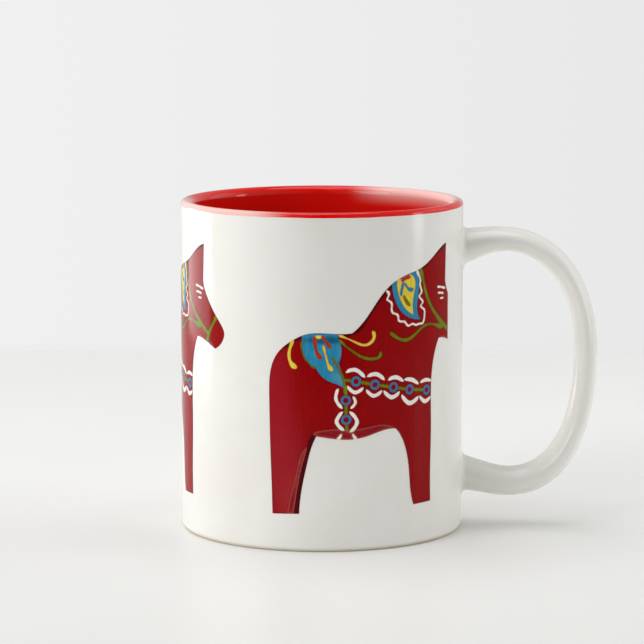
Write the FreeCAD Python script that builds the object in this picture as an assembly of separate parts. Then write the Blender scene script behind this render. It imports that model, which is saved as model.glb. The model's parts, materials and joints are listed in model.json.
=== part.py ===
"""Two-tone ceramic mug with a wrap print of three painted dala horses.

Frame: the origin is the centre of the ring that the mug stands on, +Z is up along the mug's axis and
the handle points to +X.  All lengths are in millimetres.
"""
import FreeCAD, Part
import math
import os

# ---- driving dimensions, taken over the glaze ---------------------------------------------------
MUG_DIAMETER = 82.0
MUG_HEIGHT = 96.0
WALL = 3.6
FLOOR = 6.0                 # from the ground to the drinking side of the floor
INNER_CORNER = 7.0          # round between the wall and the floor, inside
LIP_OUTER_ROUND = 1.3
GLAZE = 0.3                 # thickness of every glaze coat
LIP_COLOUR_DROP = 1.4       # how far the lining's colour comes down outside the lip
FOOT_ROUND = 1.0
FOOT_RING_WIDTH = 4.2
FOOT_RECESS = 2.2           # height of the hollow under the mug
BARE_FOOT_BAND = 0.7        # unglazed clay above the ground

HANDLE_REACH = 39.6         # from the wall to the outside of the grip
HANDLE_LIP_GAP = 9.4        # from the lip down to the top of the loop
HANDLE_GROUND_GAP = 8.4     # from the ground up to the bottom of the loop
HANDLE_THICKNESS = 6.7      # at the grip, in the plane of the loop
HANDLE_WIDTH = 12.6         # at the grip, across the loop
ROOT_FILLET = 1.6

INK = 0.06                  # thickness of the print
WRAP_HANDLE_GAP = 20.8      # along the wall, from the handle's middle to each end of the wrap
PRINT_GROUND_GAP = 10.8     # from the ground to the hooves
PRINT_LIP_GAP = 10.4        # from the lip to the tips of the ears
HORSE_GAP = 15.2            # along the wall, from a muzzle to the next horse's rump

# ---- sizes that follow ----------------------------------------------------------------------------
OUTER = MUG_DIAMETER / 2
BORE = OUTER - WALL
CLAY_OUTER = OUTER - GLAZE
CLAY_BORE = BORE + GLAZE
LIP_CREST = OUTER - LIP_OUTER_ROUND
LIP_INNER_ROUND = LIP_CREST - BORE
CLAY_TOP = MUG_HEIGHT - GLAZE
FOOT_OUTER = CLAY_OUTER - FOOT_ROUND
FOOT_INNER = FOOT_OUTER - FOOT_RING_WIDTH
TURN = 2 * math.pi * OUTER


# ---- plane curves -----------------------------------------------------------------------------------
def section_point(radius, height):
    """A point of a turned section, in the half plane through +X."""
    return FreeCAD.Vector(radius, 0, height)


def section_line(start, end):
    """A straight stretch of a turned section."""
    return Part.makeLine(section_point(*start), section_point(*end))


def section_round(start, end, centre):
    """A quarter round of a turned section, from start to end about centre."""
    radius = math.dist(start, centre)
    lean = FreeCAD.Vector(start[0] + end[0] - 2 * centre[0], 0, start[1] + end[1] - 2 * centre[1])
    lean.normalize()
    middle = section_point(*centre) + lean * radius
    return Part.Arc(section_point(*start), middle, section_point(*end)).toShape()


def turned(edges):
    """The solid that a closed section makes when it is turned about the mug's axis."""
    face = Part.Face(Part.Wire(Part.__sortEdges__(edges)))
    solid = face.revolve(FreeCAD.Vector(0, 0, 0), FreeCAD.Vector(0, 0, 1), 360)
    solid.rotate(FreeCAD.Vector(0, 0, 0), FreeCAD.Vector(0, 0, 1), 180)     # seam away from the handle
    return solid


# ---- clay body and its glazes ---------------------------------------------------------------------
def lip_rounds(inset):
    """The two rounds of the lip, outer then inner, at a depth below the glaze."""
    top = MUG_HEIGHT - inset
    outer_centre = (LIP_CREST, MUG_HEIGHT - LIP_OUTER_ROUND)
    inner_centre = (LIP_CREST, MUG_HEIGHT - LIP_INNER_ROUND)
    outer = section_round((OUTER - inset, outer_centre[1]), (LIP_CREST, top), outer_centre)
    inner = section_round((LIP_CREST, top), (BORE + inset, inner_centre[1]), inner_centre)
    return [outer, inner]


def inside_edges(inset):
    """The drinking side from the lip down to the axis, at a depth below the glaze."""
    wall = BORE + inset
    floor = FLOOR - inset
    corner = (BORE - INNER_CORNER, FLOOR + INNER_CORNER)
    return [
        section_line((wall, MUG_HEIGHT - LIP_INNER_ROUND), (wall, corner[1])),
        section_round((wall, corner[1]), (corner[0], floor), corner),
        section_line((corner[0], floor), (0, floor)),
    ]


def clay_section():
    """The clay's section: wall, lip, floor, foot ring and the recess under it."""
    recess_wall = FOOT_INNER - FOOT_ROUND
    edges = inside_edges(GLAZE) + lip_rounds(GLAZE)
    edges += [
        section_line((CLAY_OUTER, MUG_HEIGHT - LIP_OUTER_ROUND), (CLAY_OUTER, FOOT_ROUND)),
        section_round((CLAY_OUTER, FOOT_ROUND), (FOOT_OUTER, 0), (FOOT_OUTER, FOOT_ROUND)),
        section_line((FOOT_OUTER, 0), (FOOT_INNER, 0)),
        section_round((FOOT_INNER, 0), (recess_wall, FOOT_ROUND), (FOOT_INNER, FOOT_ROUND)),
        section_line((recess_wall, FOOT_ROUND), (recess_wall, FOOT_RECESS)),
        section_line((recess_wall, FOOT_RECESS), (0, FOOT_RECESS)),
        section_line((0, FOOT_RECESS), (0, FLOOR - GLAZE)),
    ]
    return edges


def mug_body():
    """The fired clay shell."""
    return turned(clay_section())


def lining_glaze():
    """The coloured coat inside, which runs over the lip and a little way down outside."""
    drop = MUG_HEIGHT - LIP_COLOUR_DROP
    lip_foot = MUG_HEIGHT - LIP_OUTER_ROUND
    edges = inside_edges(0) + inside_edges(GLAZE) + lip_rounds(0) + lip_rounds(GLAZE)
    edges += [
        section_line((OUTER, lip_foot), (OUTER, drop)),
        section_line((OUTER, drop), (CLAY_OUTER, drop)),
        section_line((CLAY_OUTER, drop), (CLAY_OUTER, lip_foot)),
        section_line((0, FLOOR - GLAZE), (0, FLOOR)),
    ]
    return turned(edges)


def wall_glaze():
    """The white coat outside, from the lining's colour down to the bare band at the foot."""
    drop = MUG_HEIGHT - LIP_COLOUR_DROP
    fade = BARE_FOOT_BAND + 3 * GLAZE
    rise = FOOT_ROUND - BARE_FOOT_BAND
    edge_radius = FOOT_OUTER + math.sqrt(FOOT_ROUND ** 2 - rise ** 2)
    edges = [
        section_line((OUTER, drop), (OUTER, fade)),
        section_line((OUTER, fade), (edge_radius, BARE_FOOT_BAND)),
        Part.Arc(
            section_point(edge_radius, BARE_FOOT_BAND),
            section_point(*foot_round_point(math.asin(rise / FOOT_ROUND) / 2)),
            section_point(CLAY_OUTER, FOOT_ROUND),
        ).toShape(),
        section_line((CLAY_OUTER, FOOT_ROUND), (CLAY_OUTER, drop)),
        section_line((CLAY_OUTER, drop), (OUTER, drop)),
    ]
    return turned(edges)


def foot_round_point(angle):
    """The point of the foot's outer round that lies at an angle below the level."""
    return (
        FOOT_OUTER + FOOT_ROUND * math.cos(angle),
        FOOT_ROUND - FOOT_ROUND * math.sin(angle),
    )


def foot_glaze():
    """The white coat on the ceiling and the wall of the recess under the mug."""
    recess_wall = FOOT_INNER - FOOT_ROUND
    edges = [
        section_line((0, FOOT_RECESS), (recess_wall, FOOT_RECESS)),
        section_line((recess_wall, FOOT_RECESS), (recess_wall, FOOT_ROUND)),
        section_line((recess_wall, FOOT_ROUND), (recess_wall - GLAZE, FOOT_ROUND + GLAZE)),
        section_line((recess_wall - GLAZE, FOOT_ROUND + GLAZE), (recess_wall - GLAZE, FOOT_RECESS - GLAZE)),
        section_line((recess_wall - GLAZE, FOOT_RECESS - GLAZE), (0, FOOT_RECESS - GLAZE)),
        section_line((0, FOOT_RECESS - GLAZE), (0, FOOT_RECESS)),
    ]
    return turned(edges)


# ---- handle ---------------------------------------------------------------------------------------
DRAWN_REACH = 39.6
DRAWN_SPAN = 78.2
HANDLE_STATIONS = 26
# The loop's middle line from the lower root to the upper one: x out from the wall, z up from the
# bottom of the loop, and the thickness there as a multiple of the grip's.
HANDLE_SPINE = [
    (-5.0, 7.9, 1.58),
    (0.0, 6.8, 1.5),
    (4.6, 5.8, 1.37),
    (13.4, 4.3, 1.26),
    (23.0, 6.7, 1.22),
    (30.6, 14.9, 1.1),
    (35.2, 29.1, 1.02),
    (36.2, 41.6, 1.0),
    (34.6, 54.9, 0.95),
    (29.7, 65.4, 0.99),
    (20.7, 72.8, 1.02),
    (11.5, 74.7, 1.06),
    (5.6, 74.0, 1.24),
    (0.0, 72.6, 1.5),
    (-5.0, 71.2, 1.58),
]


def handle_spine():
    """The loop's middle line as a smooth curve whose Y is the thickness."""
    reach = HANDLE_REACH / DRAWN_REACH
    span = (MUG_HEIGHT - HANDLE_LIP_GAP - HANDLE_GROUND_GAP) / DRAWN_SPAN
    points = []
    for out, up, share in HANDLE_SPINE:
        x = OUTER + out * (reach if out > 0 else 1)
        points.append(FreeCAD.Vector(x, share * HANDLE_THICKNESS, HANDLE_GROUND_GAP + up * span))
    curve = Part.BSplineCurve()
    curve.interpolate(Points=points)
    return curve


def handle_section(curve, parameter, inset):
    """The oval section of the handle at a place on its middle line."""
    place = curve.value(parameter)
    along = curve.tangent(parameter)[0]
    along.y = 0
    along.normalize()
    across = along.cross(FreeCAD.Vector(0, 1, 0))
    half_thickness = place.y / 2 - inset
    half_width = (HANDLE_WIDTH + (place.y - HANDLE_THICKNESS) / 2) / 2 - inset
    centre = FreeCAD.Vector(place.x, 0, place.z)
    oval = Part.Ellipse(
        centre + FreeCAD.Vector(0, half_width, 0), centre + across * half_thickness, centre
    )
    return Part.Wire([oval.toShape()])


def handle_loop(inset):
    """The whole loop, with its ends still running into the wall."""
    curve = handle_spine()
    first, last = curve.FirstParameter, curve.LastParameter
    sections = []
    for station in range(HANDLE_STATIONS):
        share = station / (HANDLE_STATIONS - 1)
        sections.append(handle_section(curve, first + share * (last - first), inset))
    return Part.makeLoft(sections, True, False)


def wall_cylinder(radius):
    """A solid cylinder as tall as the mug, with its seam away from the handle."""
    solid = Part.makeCylinder(radius, MUG_HEIGHT)
    solid.rotate(FreeCAD.Vector(0, 0, 0), FreeCAD.Vector(0, 0, 1), 180)
    return solid


def is_root_edge(edge, radius):
    """Whether an edge is where the handle meets the wall."""
    points = edge.discretize(7)
    on_wall = all(abs(math.hypot(p.x, p.y) - radius) < 0.001 for p in points)
    return on_wall and all(p.x > 0 and 0 < p.z < MUG_HEIGHT for p in points)


def rooted_handle(inset):
    """The handle with filleted roots, cut off at the wall, at a depth below the glaze."""
    radius = OUTER - inset
    wall = wall_cylinder(radius)
    joined = wall.fuse(handle_loop(inset))
    roots = [edge for edge in joined.Edges if is_root_edge(edge, radius)]
    return joined.makeFillet(ROOT_FILLET + inset, roots).cut(wall)


def handle_clay():
    """The clay loop, cut to fit the wall."""
    return handle_loop(GLAZE).cut(wall_cylinder(CLAY_OUTER))


def root_joints(rooted_clay, clay):
    """The two slip fillets, lower then upper."""
    pieces = rooted_clay.cut(clay).Solids
    return sorted(pieces, key=lambda solid: solid.CenterOfMass.z)


# ---- print: brushes ---------------------------------------------------------------------------------
# The horse is drawn flat.  x runs along the wall from a plumb line through the saddle, and z is the
# height above the ground.
DRAWN_HOOVES = 10.8
DRAWN_EARS = 85.6
DRAWN_RUMP = -15.1
DRAWN_MUZZLE = 51.2
DRAWN_MIDDLE = 17.1         # the x that the middle horse puts opposite the handle


def flat_point(x, z):
    """A point of the flat drawing."""
    return FreeCAD.Vector(x, z, 0)


def curve_edge(points):
    """A straight edge through two points, or a smooth one through more."""
    places = [flat_point(*point) for point in points]
    if len(places) == 2:
        return Part.makeLine(*places)
    curve = Part.BSplineCurve()
    curve.interpolate(Points=places)
    return curve.toShape()


def outline(*stretches):
    """The face inside a closed outline, with a corner wherever two stretches meet."""
    return Part.Face(Part.Wire([curve_edge(points) for points in stretches]))


def stroke(*dabs):
    """A brush stroke.  Each dab is a place on its middle line and the width there."""
    spine = Part.BSplineCurve()
    spine.interpolate(Points=[flat_point(x, z) for x, z, _ in dabs])
    left, right = [], []
    for x, z, width in dabs:
        place = flat_point(x, z)
        along = spine.tangent(spine.parameter(place))[0]
        side = FreeCAD.Vector(-along.y, along.x, 0) * (width / 2)
        left.append(place + side)
        right.append(place - side)
    start_along = spine.tangent(spine.FirstParameter)[0]
    end_along = spine.tangent(spine.LastParameter)[0]
    start = flat_point(*dabs[0][:2]) - start_along * (dabs[0][2] * 0.5)
    end = flat_point(*dabs[-1][:2]) + end_along * (dabs[-1][2] * 0.5)
    rim = Part.BSplineCurve()
    rim.interpolate(Points=[start] + right + [end] + left[::-1], PeriodicFlag=True)
    return Part.Face(Part.Wire([rim.toShape()]))


def ring(x, z, radius, hole):
    """A painted ring."""
    disc, hollow = [Part.Face(Part.Wire([Part.makeCircle(r, flat_point(x, z))])) for r in (radius, hole)]
    return disc.cut(hollow).Faces[0]


# ---- print: the horse -------------------------------------------------------------------------------
BACK = [
    (8.5, 62.2), (1.0, 62.3), (-4.5, 62.0), (-8.5, 60.1), (-12.8, 56.3), (-14.8, 51.0), (-15.1, 44.0),
    (-14.9, 33.0), (-14.4, 18.6), (-14.2, 10.8),
]
MANE = [
    (42.3, 85.6), (37.8, 83.5), (33.3, 80.6), (30.0, 79.1), (25.6, 77.9), (20.8, 75.8), (16.7, 71.9),
    (12.2, 65.8), (8.5, 62.2),
]
BELLY = [
    (-1.6, 33.2), (2.2, 32.6), (9.0, 32.2), (13.3, 33.0), (17.0, 34.1), (21.8, 34.5),
]
HIND_LEG_INSIDE = [
    (-6.5, 11.0), (-5.4, 20.0), (-4.3, 25.0), (-3.0, 30.0), (-1.6, 33.2),
]


def horse_outline():
    """The whole horse, from the hind hoof round by the belly, the head and the back."""
    return outline(
        [(-14.2, 10.8), (-6.5, 11.0)],
        HIND_LEG_INSIDE,
        BELLY,
        [(21.8, 34.5), (24.7, 29.9), (26.4, 22.4), (27.1, 15.6), (28.1, 12.0)],
        [(28.1, 12.0), (34.9, 12.2)],
        [(34.9, 12.2), (34.8, 21.3), (35.1, 35.2), (35.0, 45.0), (36.4, 54.1), (38.6, 58.7)],
        [(38.6, 58.7), (40.6, 58.6), (44.0, 57.6), (47.5, 56.1)],
        [
            (47.5, 56.1), (49.2, 57.1), (50.9, 59.3), (51.2, 60.8), (50.2, 62.8), (47.0, 66.4),
            (44.0, 70.4), (42.5, 73.0), (41.9, 74.8),
        ],
        [(41.9, 74.8), (42.3, 85.6)],
        MANE,
        BACK,
    )


def dark_red_ink():
    """Shade: the hind leg's inner face, and the rounded-off top of the back and the neck."""
    edge_width = 1.1
    fade = 0.3
    back = [(x, z, edge_width) for x, z in BACK[1:4]]
    neck = [(x, z, edge_width) for x, z in MANE[3:8]]
    ear = [(x, z, edge_width * 0.7) for x, z in MANE[1:3]]
    return [
        outline(
            HIND_LEG_INSIDE,
            [(-1.6, 33.2), (-2.6, 33.4), (-4.1, 30.2), (-5.6, 24.5), (-7.0, 17.5), (-8.1, 10.9)],
            [(-8.1, 10.9), (-6.5, 11.0)],
        ),
        stroke((BACK[0][0], BACK[0][1], fade), *back, (-11.0, 58.1, fade)),
        stroke((31.6, 79.8, fade), *neck, (MANE[8][0], MANE[8][1], fade)),
        stroke((MANE[0][0] - 0.6, MANE[0][1] - 0.3, fade), *ear, (31.2, 79.6, fade)),
    ]


def light_red_ink():
    """Light: the facets carved along the belly and inside the hind leg, and the jaw's edge."""
    return [
        outline(
            [(-1.6, 33.2), (-2.4, 33.9), (0.5, 34.9), (6.0, 35.2), (11.0, 35.1), (16.5, 35.9), (21.8, 34.5)],
            BELLY[::-1],
        ),
        outline(
            [(-8.1, 10.9), (-7.0, 17.5), (-5.6, 24.5), (-4.1, 30.2)],
            [(-4.1, 30.2), (-5.3, 29.0), (-7.2, 23.0), (-9.0, 16.0), (-9.9, 10.9)],
            [(-9.9, 10.9), (-8.1, 10.9)],
        ),
        stroke((22.3, 34.0, 0.3), (23.4, 32.3, 0.5), (24.5, 29.8, 0.3)),
        stroke((39.2, 58.8, 0.2), (41.5, 58.6, 0.4), (44.5, 57.8, 0.5), (46.8, 56.9, 0.3)),
    ]


def beads():
    """The centres of the rings: along the girth from the saddle to the chest, then down the strap."""
    girth = [(9.6, 48.6), (15.2, 47.4), (21.0, 46.3), (26.5, 45.2), (33.1, 44.4)]
    strap = [(6.7, 43.3), (6.8, 37.8)]
    return girth, strap


def blue_ink():
    """The saddle, the mane's leaf, the strokes in the leaf and the rings."""
    bead_radius = 1.45
    bead_hole = 0.78
    girth, strap = beads()
    saddle = outline(
        [(-5.4, 62.6), (-5.6, 58.8), (-4.6, 55.2), (-3.0, 53.3), (-1.6, 52.4)],
        [(-1.6, 52.4), (-0.6, 50.8), (1.5, 49.0), (4.2, 47.9), (6.2, 46.6)],
        [(6.2, 46.6), (6.3, 48.6), (5.5, 51.4), (4.7, 54.0)],
        [(4.7, 54.0), (5.4, 56.3), (5.3, 58.8), (4.5, 61.2), (4.6, 62.8)],
        [(4.6, 62.8), (-5.4, 62.6)],
    )
    leaf = outline(
        [(20.6, 76.6), (20.6, 74.0), (21.6, 70.6), (23.5, 67.6), (26.6, 65.6), (30.5, 64.9)],
        [(30.5, 64.9), (29.2, 67.6), (29.6, 71.6), (29.9, 75.0), (29.6, 77.2), (28.4, 79.4)],
        [(28.4, 79.4), (20.6, 76.6)],
    )
    return [saddle, leaf] + [ring(x, z, bead_radius, bead_hole) for x, z in girth + strap]


def leaf_blue_ink():
    """The two blue strokes over the yellow of the mane's leaf."""
    return [
        stroke((24.1, 75.7, 0.7), (23.8, 74.4, 0.9), (23.5, 73.2, 1.0), (23.5, 72.3, 0.8)),
        stroke((24.7, 75.5, 0.5), (25.3, 74.6, 0.7), (26.1, 73.8, 1.0), (27.2, 73.6, 1.2)),
    ]


def leaf_green_ink():
    """The green drop over the yellow of the mane's leaf."""
    return [stroke((24.4, 72.0, 0.5), (24.9, 70.9, 1.0), (25.6, 70.0, 1.2), (26.3, 69.2, 0.8))]


def link_strokes():
    """The green links between the rings, each from one ring's rim to the next one's."""
    girth, strap = beads()
    rim = 1.45
    chains = [[(4.9, 49.3)] + girth, [(6.7, 47.3)] + strap + [(7.2, 33.1)]]
    strokes = []
    for chain in chains:
        for (x, z), (next_x, next_z) in zip(chain, chain[1:]):
            step = math.dist((x, z), (next_x, next_z))
            along = ((next_x - x) / step, (next_z - z) / step)
            places = [rim + 0.3, step / 2, step - rim - 0.3]
            strokes.append(stroke(*[(x + along[0] * d, z + along[1] * d, 0.85) for d in places]))
    return strokes


def green_ink():
    """The stem, the saddle's edge, the long strokes, the bridle and the links between the rings."""
    return link_strokes() + [
        stroke(
            (2.9, 55.3, 0.5), (3.6, 54.1, 0.6), (4.9, 51.9, 0.5), (6.0, 49.5, 0.6), (6.4, 47.5, 0.7),
            (6.6, 45.0, 0.6),
        ),
        stroke(
            (-5.7, 60.0, 0.2), (-5.7, 58.0, 0.4), (-4.6, 55.0, 0.4), (-3.0, 53.2, 0.4), (-1.9, 52.5, 0.3),
        ),
        stroke(
            (5.0, 60.5, 0.3), (6.5, 58.8, 0.5), (8.3, 57.4, 0.55), (10.3, 56.0, 0.65), (12.6, 55.0, 0.8),
            (15.0, 54.8, 0.85), (16.5, 55.3, 0.9), (16.9, 56.3, 0.9),
        ),
        stroke(
            (30.2, 79.3, 0.8), (31.4, 76.4, 0.9), (32.4, 73.0, 1.0), (34.4, 68.9, 1.0), (37.4, 65.3, 1.2),
            (40.6, 62.7, 1.4), (43.6, 60.6, 1.2), (44.6, 59.9, 0.9),
        ),
        stroke(
            (20.0, 61.8, 0.6), (22.0, 60.4, 0.9), (24.6, 59.4, 1.0), (27.4, 60.1, 0.9), (30.4, 62.0, 0.8),
            (33.2, 63.1, 0.75), (37.0, 62.6, 0.85), (40.4, 61.8, 1.0),
        ),
        stroke(
            (48.4, 65.6, 0.9), (46.9, 63.6, 0.95), (45.5, 61.5, 1.0), (44.3, 59.4, 1.0), (43.8, 57.2, 0.9),
        ),
    ]


def yellow_ink():
    """The mane's inner leaf, the stroke inside the saddle and the plumes to each side of it."""
    return [
        outline(
            [(22.4, 77.6), (22.1, 75.0), (22.9, 71.8), (24.4, 69.0), (27.8, 66.4)],
            [(27.8, 66.4), (27.5, 69.0), (27.9, 72.0), (28.5, 75.0), (27.9, 77.0), (26.5, 78.0)],
            [(26.5, 78.0), (24.4, 76.2), (22.4, 77.6)],
        ),
        stroke((-1.7, 61.5, 0.6), (-0.9, 61.3, 1.0), (-0.2, 61.5, 0.6)),
        stroke(
            (0.4, 58.9, 0.3), (0.8, 57.0, 0.5), (1.3, 55.0, 0.5), (1.8, 53.4, 0.7), (2.6, 52.2, 1.2),
        ),
        stroke(
            (-8.1, 60.2, 0.5), (-8.9, 58.4, 0.8), (-9.3, 56.2, 0.9), (-8.9, 54.2, 0.95), (-7.6, 52.8, 1.3),
        ),
        stroke(
            (4.7, 61.7, 0.3), (6.4, 61.1, 0.5), (9.4, 59.7, 0.6), (12.3, 58.8, 0.7), (14.1, 59.6, 0.9),
            (14.9, 61.1, 0.9), (14.6, 62.3, 0.9),
        ),
    ]


def orange_ink():
    """The two strokes inside the saddle and the dab at the top of the mane's leaf."""
    return [
        stroke((-2.1, 61.3, 0.4), (-1.9, 59.0, 0.8), (-1.4, 56.9, 0.8), (-0.5, 55.5, 1.0)),
        stroke((0.1, 61.4, 0.5), (0.9, 60.3, 0.7), (1.6, 59.3, 0.8), (2.2, 58.5, 0.9)),
        stroke((23.9, 76.4, 0.9), (24.8, 77.0, 0.9), (26.2, 77.2, 1.0)),
    ]


def white_ink():
    """The lace round the mane's leaf, the eye, and the crescents round the girth and the strap."""
    lace = [
        (18.8, 73.6), (19.4, 72.5), (18.9, 71.4), (19.9, 70.6), (20.4, 69.8), (20.3, 68.5), (20.8, 67.4),
        (22.0, 66.9), (22.5, 66.2), (22.6, 65.3), (23.4, 64.8), (24.7, 64.6), (25.3, 63.9), (26.1, 63.4),
        (27.4, 63.8), (28.7, 63.4), (30.0, 63.6), (31.3, 63.7), (31.9, 64.6), (32.1, 66.0), (32.0, 67.4),
        (31.2, 68.0), (30.6, 68.7), (31.3, 69.5), (30.9, 70.4), (30.0, 71.5), (30.8, 72.4), (30.7, 73.5),
        (30.3, 74.6), (30.4, 76.0), (29.9, 77.2), (29.1, 78.8),
    ]
    lace_width = 0.62
    eye = [
        stroke((37.8, 73.4, 0.3), (39.8, 73.1, 0.5), (41.9, 72.6, 0.3)),
        stroke((38.2, 71.6, 0.4), (39.5, 71.5, 0.55), (40.9, 71.2, 0.35)),
        stroke((39.4, 69.95, 0.45), (40.1, 69.95, 0.55), (40.8, 69.95, 0.45)),
    ]
    return [stroke(*[(x, z, lace_width) for x, z in lace])] + eye + crescents()


def crescent(start, middle, end, width):
    """A white arc that swells from a point to its middle and back to a point."""
    shoulders = []
    for tip in (start, end):
        lean = [0.56 * m + 0.44 * t for m, t in zip(middle, tip)]
        bulge = [0.20 * (2 * m - s - e) / 2 for m, s, e in zip(middle, start, end)]
        shoulders.append((lean[0] + bulge[0], lean[1] + bulge[1], width * 0.9))
    return stroke((*start, 0.45), shoulders[0], (*middle, width), shoulders[1], (*end, 0.45))


def crescents():
    """The pairs of crescents that hold each ring, above and below it or to its left and right."""
    return [
        crescent((6.9, 51.3), (9.4, 51.9), (12.1, 49.8), 1.14),
        crescent((13.0, 49.9), (15.6, 50.4), (18.0, 48.7), 1.2),
        crescent((19.4, 48.5), (21.7, 49.1), (24.2, 47.8), 1.2),
        crescent((24.8, 48.2), (27.3, 47.9), (29.7, 46.5), 1.2),
        crescent((30.6, 46.8), (32.8, 47.3), (34.9, 46.8), 1.08),
        crescent((7.2, 47.3), (9.3, 45.5), (11.6, 46.7), 1.08),
        crescent((12.7, 46.0), (14.8, 44.3), (17.2, 45.5), 1.08),
        crescent((18.0, 45.4), (20.4, 43.5), (22.9, 44.8), 1.2),
        crescent((23.8, 43.8), (26.5, 41.3), (29.7, 42.8), 1.31),
        crescent((30.4, 42.8), (32.4, 41.2), (34.7, 42.2), 1.2),
        crescent((4.5, 46.6), (3.9, 43.7), (5.6, 41.2), 0.97),
        crescent((8.8, 44.2), (9.4, 42.6), (8.2, 41.1), 0.85),
        crescent((5.7, 40.0), (4.1, 37.3), (6.1, 34.9), 1.08),
        crescent((7.9, 40.0), (9.9, 37.1), (8.0, 34.4), 1.08),
        stroke((5.4, 33.7, 0.3), (5.0, 32.9, 0.8), (4.4, 32.2, 0.8)),
        stroke((8.7, 33.7, 0.3), (9.1, 32.9, 0.8), (9.6, 32.3, 0.7)),
    ]


# ---- print: laying the inks ---------------------------------------------------------------------------
# Later inks lie over earlier ones in the painting, and each is knocked out where a later one lies.
PAINTING_ORDER = [
    ("red", lambda: [horse_outline()]),
    ("light_red", light_red_ink),
    ("dark_red", dark_red_ink),
    ("blue", blue_ink),
    ("green", green_ink),
    ("yellow", yellow_ink),
    ("blue", leaf_blue_ink),
    ("green", leaf_green_ink),
    ("orange", orange_ink),
    ("white", white_ink),
]
SMALLEST_PATCH = 0.05       # square millimetres: a smaller scrap of ink isn't printed


def united(shape):
    """A flat shape with no seams inside it."""
    return Part.makeShell(shape.Faces).removeSplitter()


def joined(faces):
    """Flat faces fused into one shape."""
    if len(faces) == 1:
        return faces[0]
    return united(faces[0].multiFuse(faces[1:]))


def separated_inks():
    """Each ink's visible area of one horse, with no ink over another."""
    horse = horse_outline()
    covered = None
    inks = {}
    for ink, draw in reversed(PAINTING_ORDER):
        painted = horse if ink == "red" else joined(draw()).common(horse)
        seen = painted.cut(covered) if covered else painted
        covered = covered.fuse(painted) if covered else painted
        inks.setdefault(ink, []).extend(seen.Faces)
    return inks


def placed(face, shift):
    """A face of the drawing at its real size, moved along the wall and cut off at the wrap's ends."""
    size = horse_scale()
    moved = face.copy()
    if size != 1:
        stretch = FreeCAD.Matrix()
        stretch.scale(size, size, 1)
        moved = face.transformGeometry(stretch).Faces[0]
    moved.translate(FreeCAD.Vector(shift, PRINT_GROUND_GAP - DRAWN_HOOVES * size, 0))
    start, end = wrap_ends()
    box = moved.BoundBox
    if box.XMin >= start and box.XMax <= end:
        return [moved]
    if box.XMax <= start or box.XMin >= end:
        return []
    sheet = Part.makePlane(end - start, MUG_HEIGHT, flat_point(start, 0))
    return moved.common(sheet).Faces


def horse_scale():
    """How much larger than drawn the horses are printed."""
    return (MUG_HEIGHT - PRINT_LIP_GAP - PRINT_GROUND_GAP) / (DRAWN_EARS - DRAWN_HOOVES)


def wrap_ends():
    """The two ends of the wrap, measured along the wall from its middle, opposite the handle."""
    half = TURN / 2 - WRAP_HANDLE_GAP
    return -half, half


# ---- print: bending it round the wall --------------------------------------------------------------------
SPANS_PER_EDGE = 4          # a long spline is bent in stretches of this many spans


def bent_edges(edge, radius):
    """A flat edge bent round a cylinder, keeping its angle and height, as one or more edges."""
    curve = edge.Curve.toBSpline(edge.FirstParameter, edge.LastParameter)
    if curve.isPeriodic():
        curve.setNotPeriodic()
        curve.segment(edge.FirstParameter, edge.LastParameter)
    knots = curve.getKnots()
    joins = knots[:-1:SPANS_PER_EDGE] + knots[-1:]
    bent = []
    for start, end in zip(joins, joins[1:]):
        stretch = curve.copy()
        stretch.segment(start, end)
        bent.append(bent_curve(stretch).toShape(cylinder_surface(radius)))
    return bent


def bent_curve(curve):
    """A flat spline as a curve of angle and height on a cylinder about the mug's axis."""
    poles = [FreeCAD.Base.Vector2d(math.pi + p.x / OUTER, p.y) for p in curve.getPoles()]
    bent = Part.Geom2d.BSplineCurve2d()
    bent.buildFromPolesMultsKnots(
        poles, curve.getMultiplicities(), curve.getKnots(), False, curve.Degree, curve.getWeights()
    )
    return bent


def cylinder_surface(radius):
    """The endless surface of a cylinder about the mug's axis."""
    surface = Part.Cylinder()
    surface.Radius = radius
    return surface


def bent_face(face, radius):
    """A flat face bent round a cylinder."""
    patches = []
    outer = face.OuterWire
    for wire in [outer] + [w for w in face.Wires if not w.isSame(outer)]:
        bent = [stretch for edge in wire.Edges for stretch in bent_edges(edge, radius)]
        patch = Part.Face(cylinder_surface(radius), Part.Wire(Part.__sortEdges__(bent)))
        patch.validate()
        patches.append(patch)
    if len(patches) == 1:
        return patches[0]
    return patches[0].cut(patches[1:]).Faces[0]


def film(face):
    """The thin solid that a flat patch of ink makes on the wall."""
    inner, outer = OUTER, OUTER + INK
    faces = [bent_face(face, inner), bent_face(face, outer)]
    for edge in face.Edges:
        for near, far in zip(bent_edges(edge, inner), bent_edges(edge, outer)):
            faces.append(Part.makeRuledSurface(near, far))
    skin = Part.Compound(faces)
    skin.sewShape(1e-4)
    return Part.makeSolid(skin.Shells[0])


def horse_print(inks, shift):
    """Every ink of one horse as a group of films, keyed by the ink's name."""
    groups = {}
    for ink, faces in inks.items():
        patches = [patch for face in faces for patch in placed(face, shift)]
        films = [film(patch) for patch in patches if patch.Area > SMALLEST_PATCH]
        if films:
            groups[ink] = Part.Compound(films)
    return groups


def prints():
    """All three horses, from the one behind the handle's left to the one at its right."""
    inks = separated_inks()
    size = horse_scale()
    pitch = (DRAWN_MUZZLE - DRAWN_RUMP) * size + HORSE_GAP
    nodes = {}
    for place, horse in enumerate(("first_horse", "middle_horse", "last_horse")):
        shift = (place - 1) * pitch - DRAWN_MIDDLE * size
        for ink, group in horse_print(inks, shift).items():
            nodes[f"{horse}_{ink}"] = group
    return nodes


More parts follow.
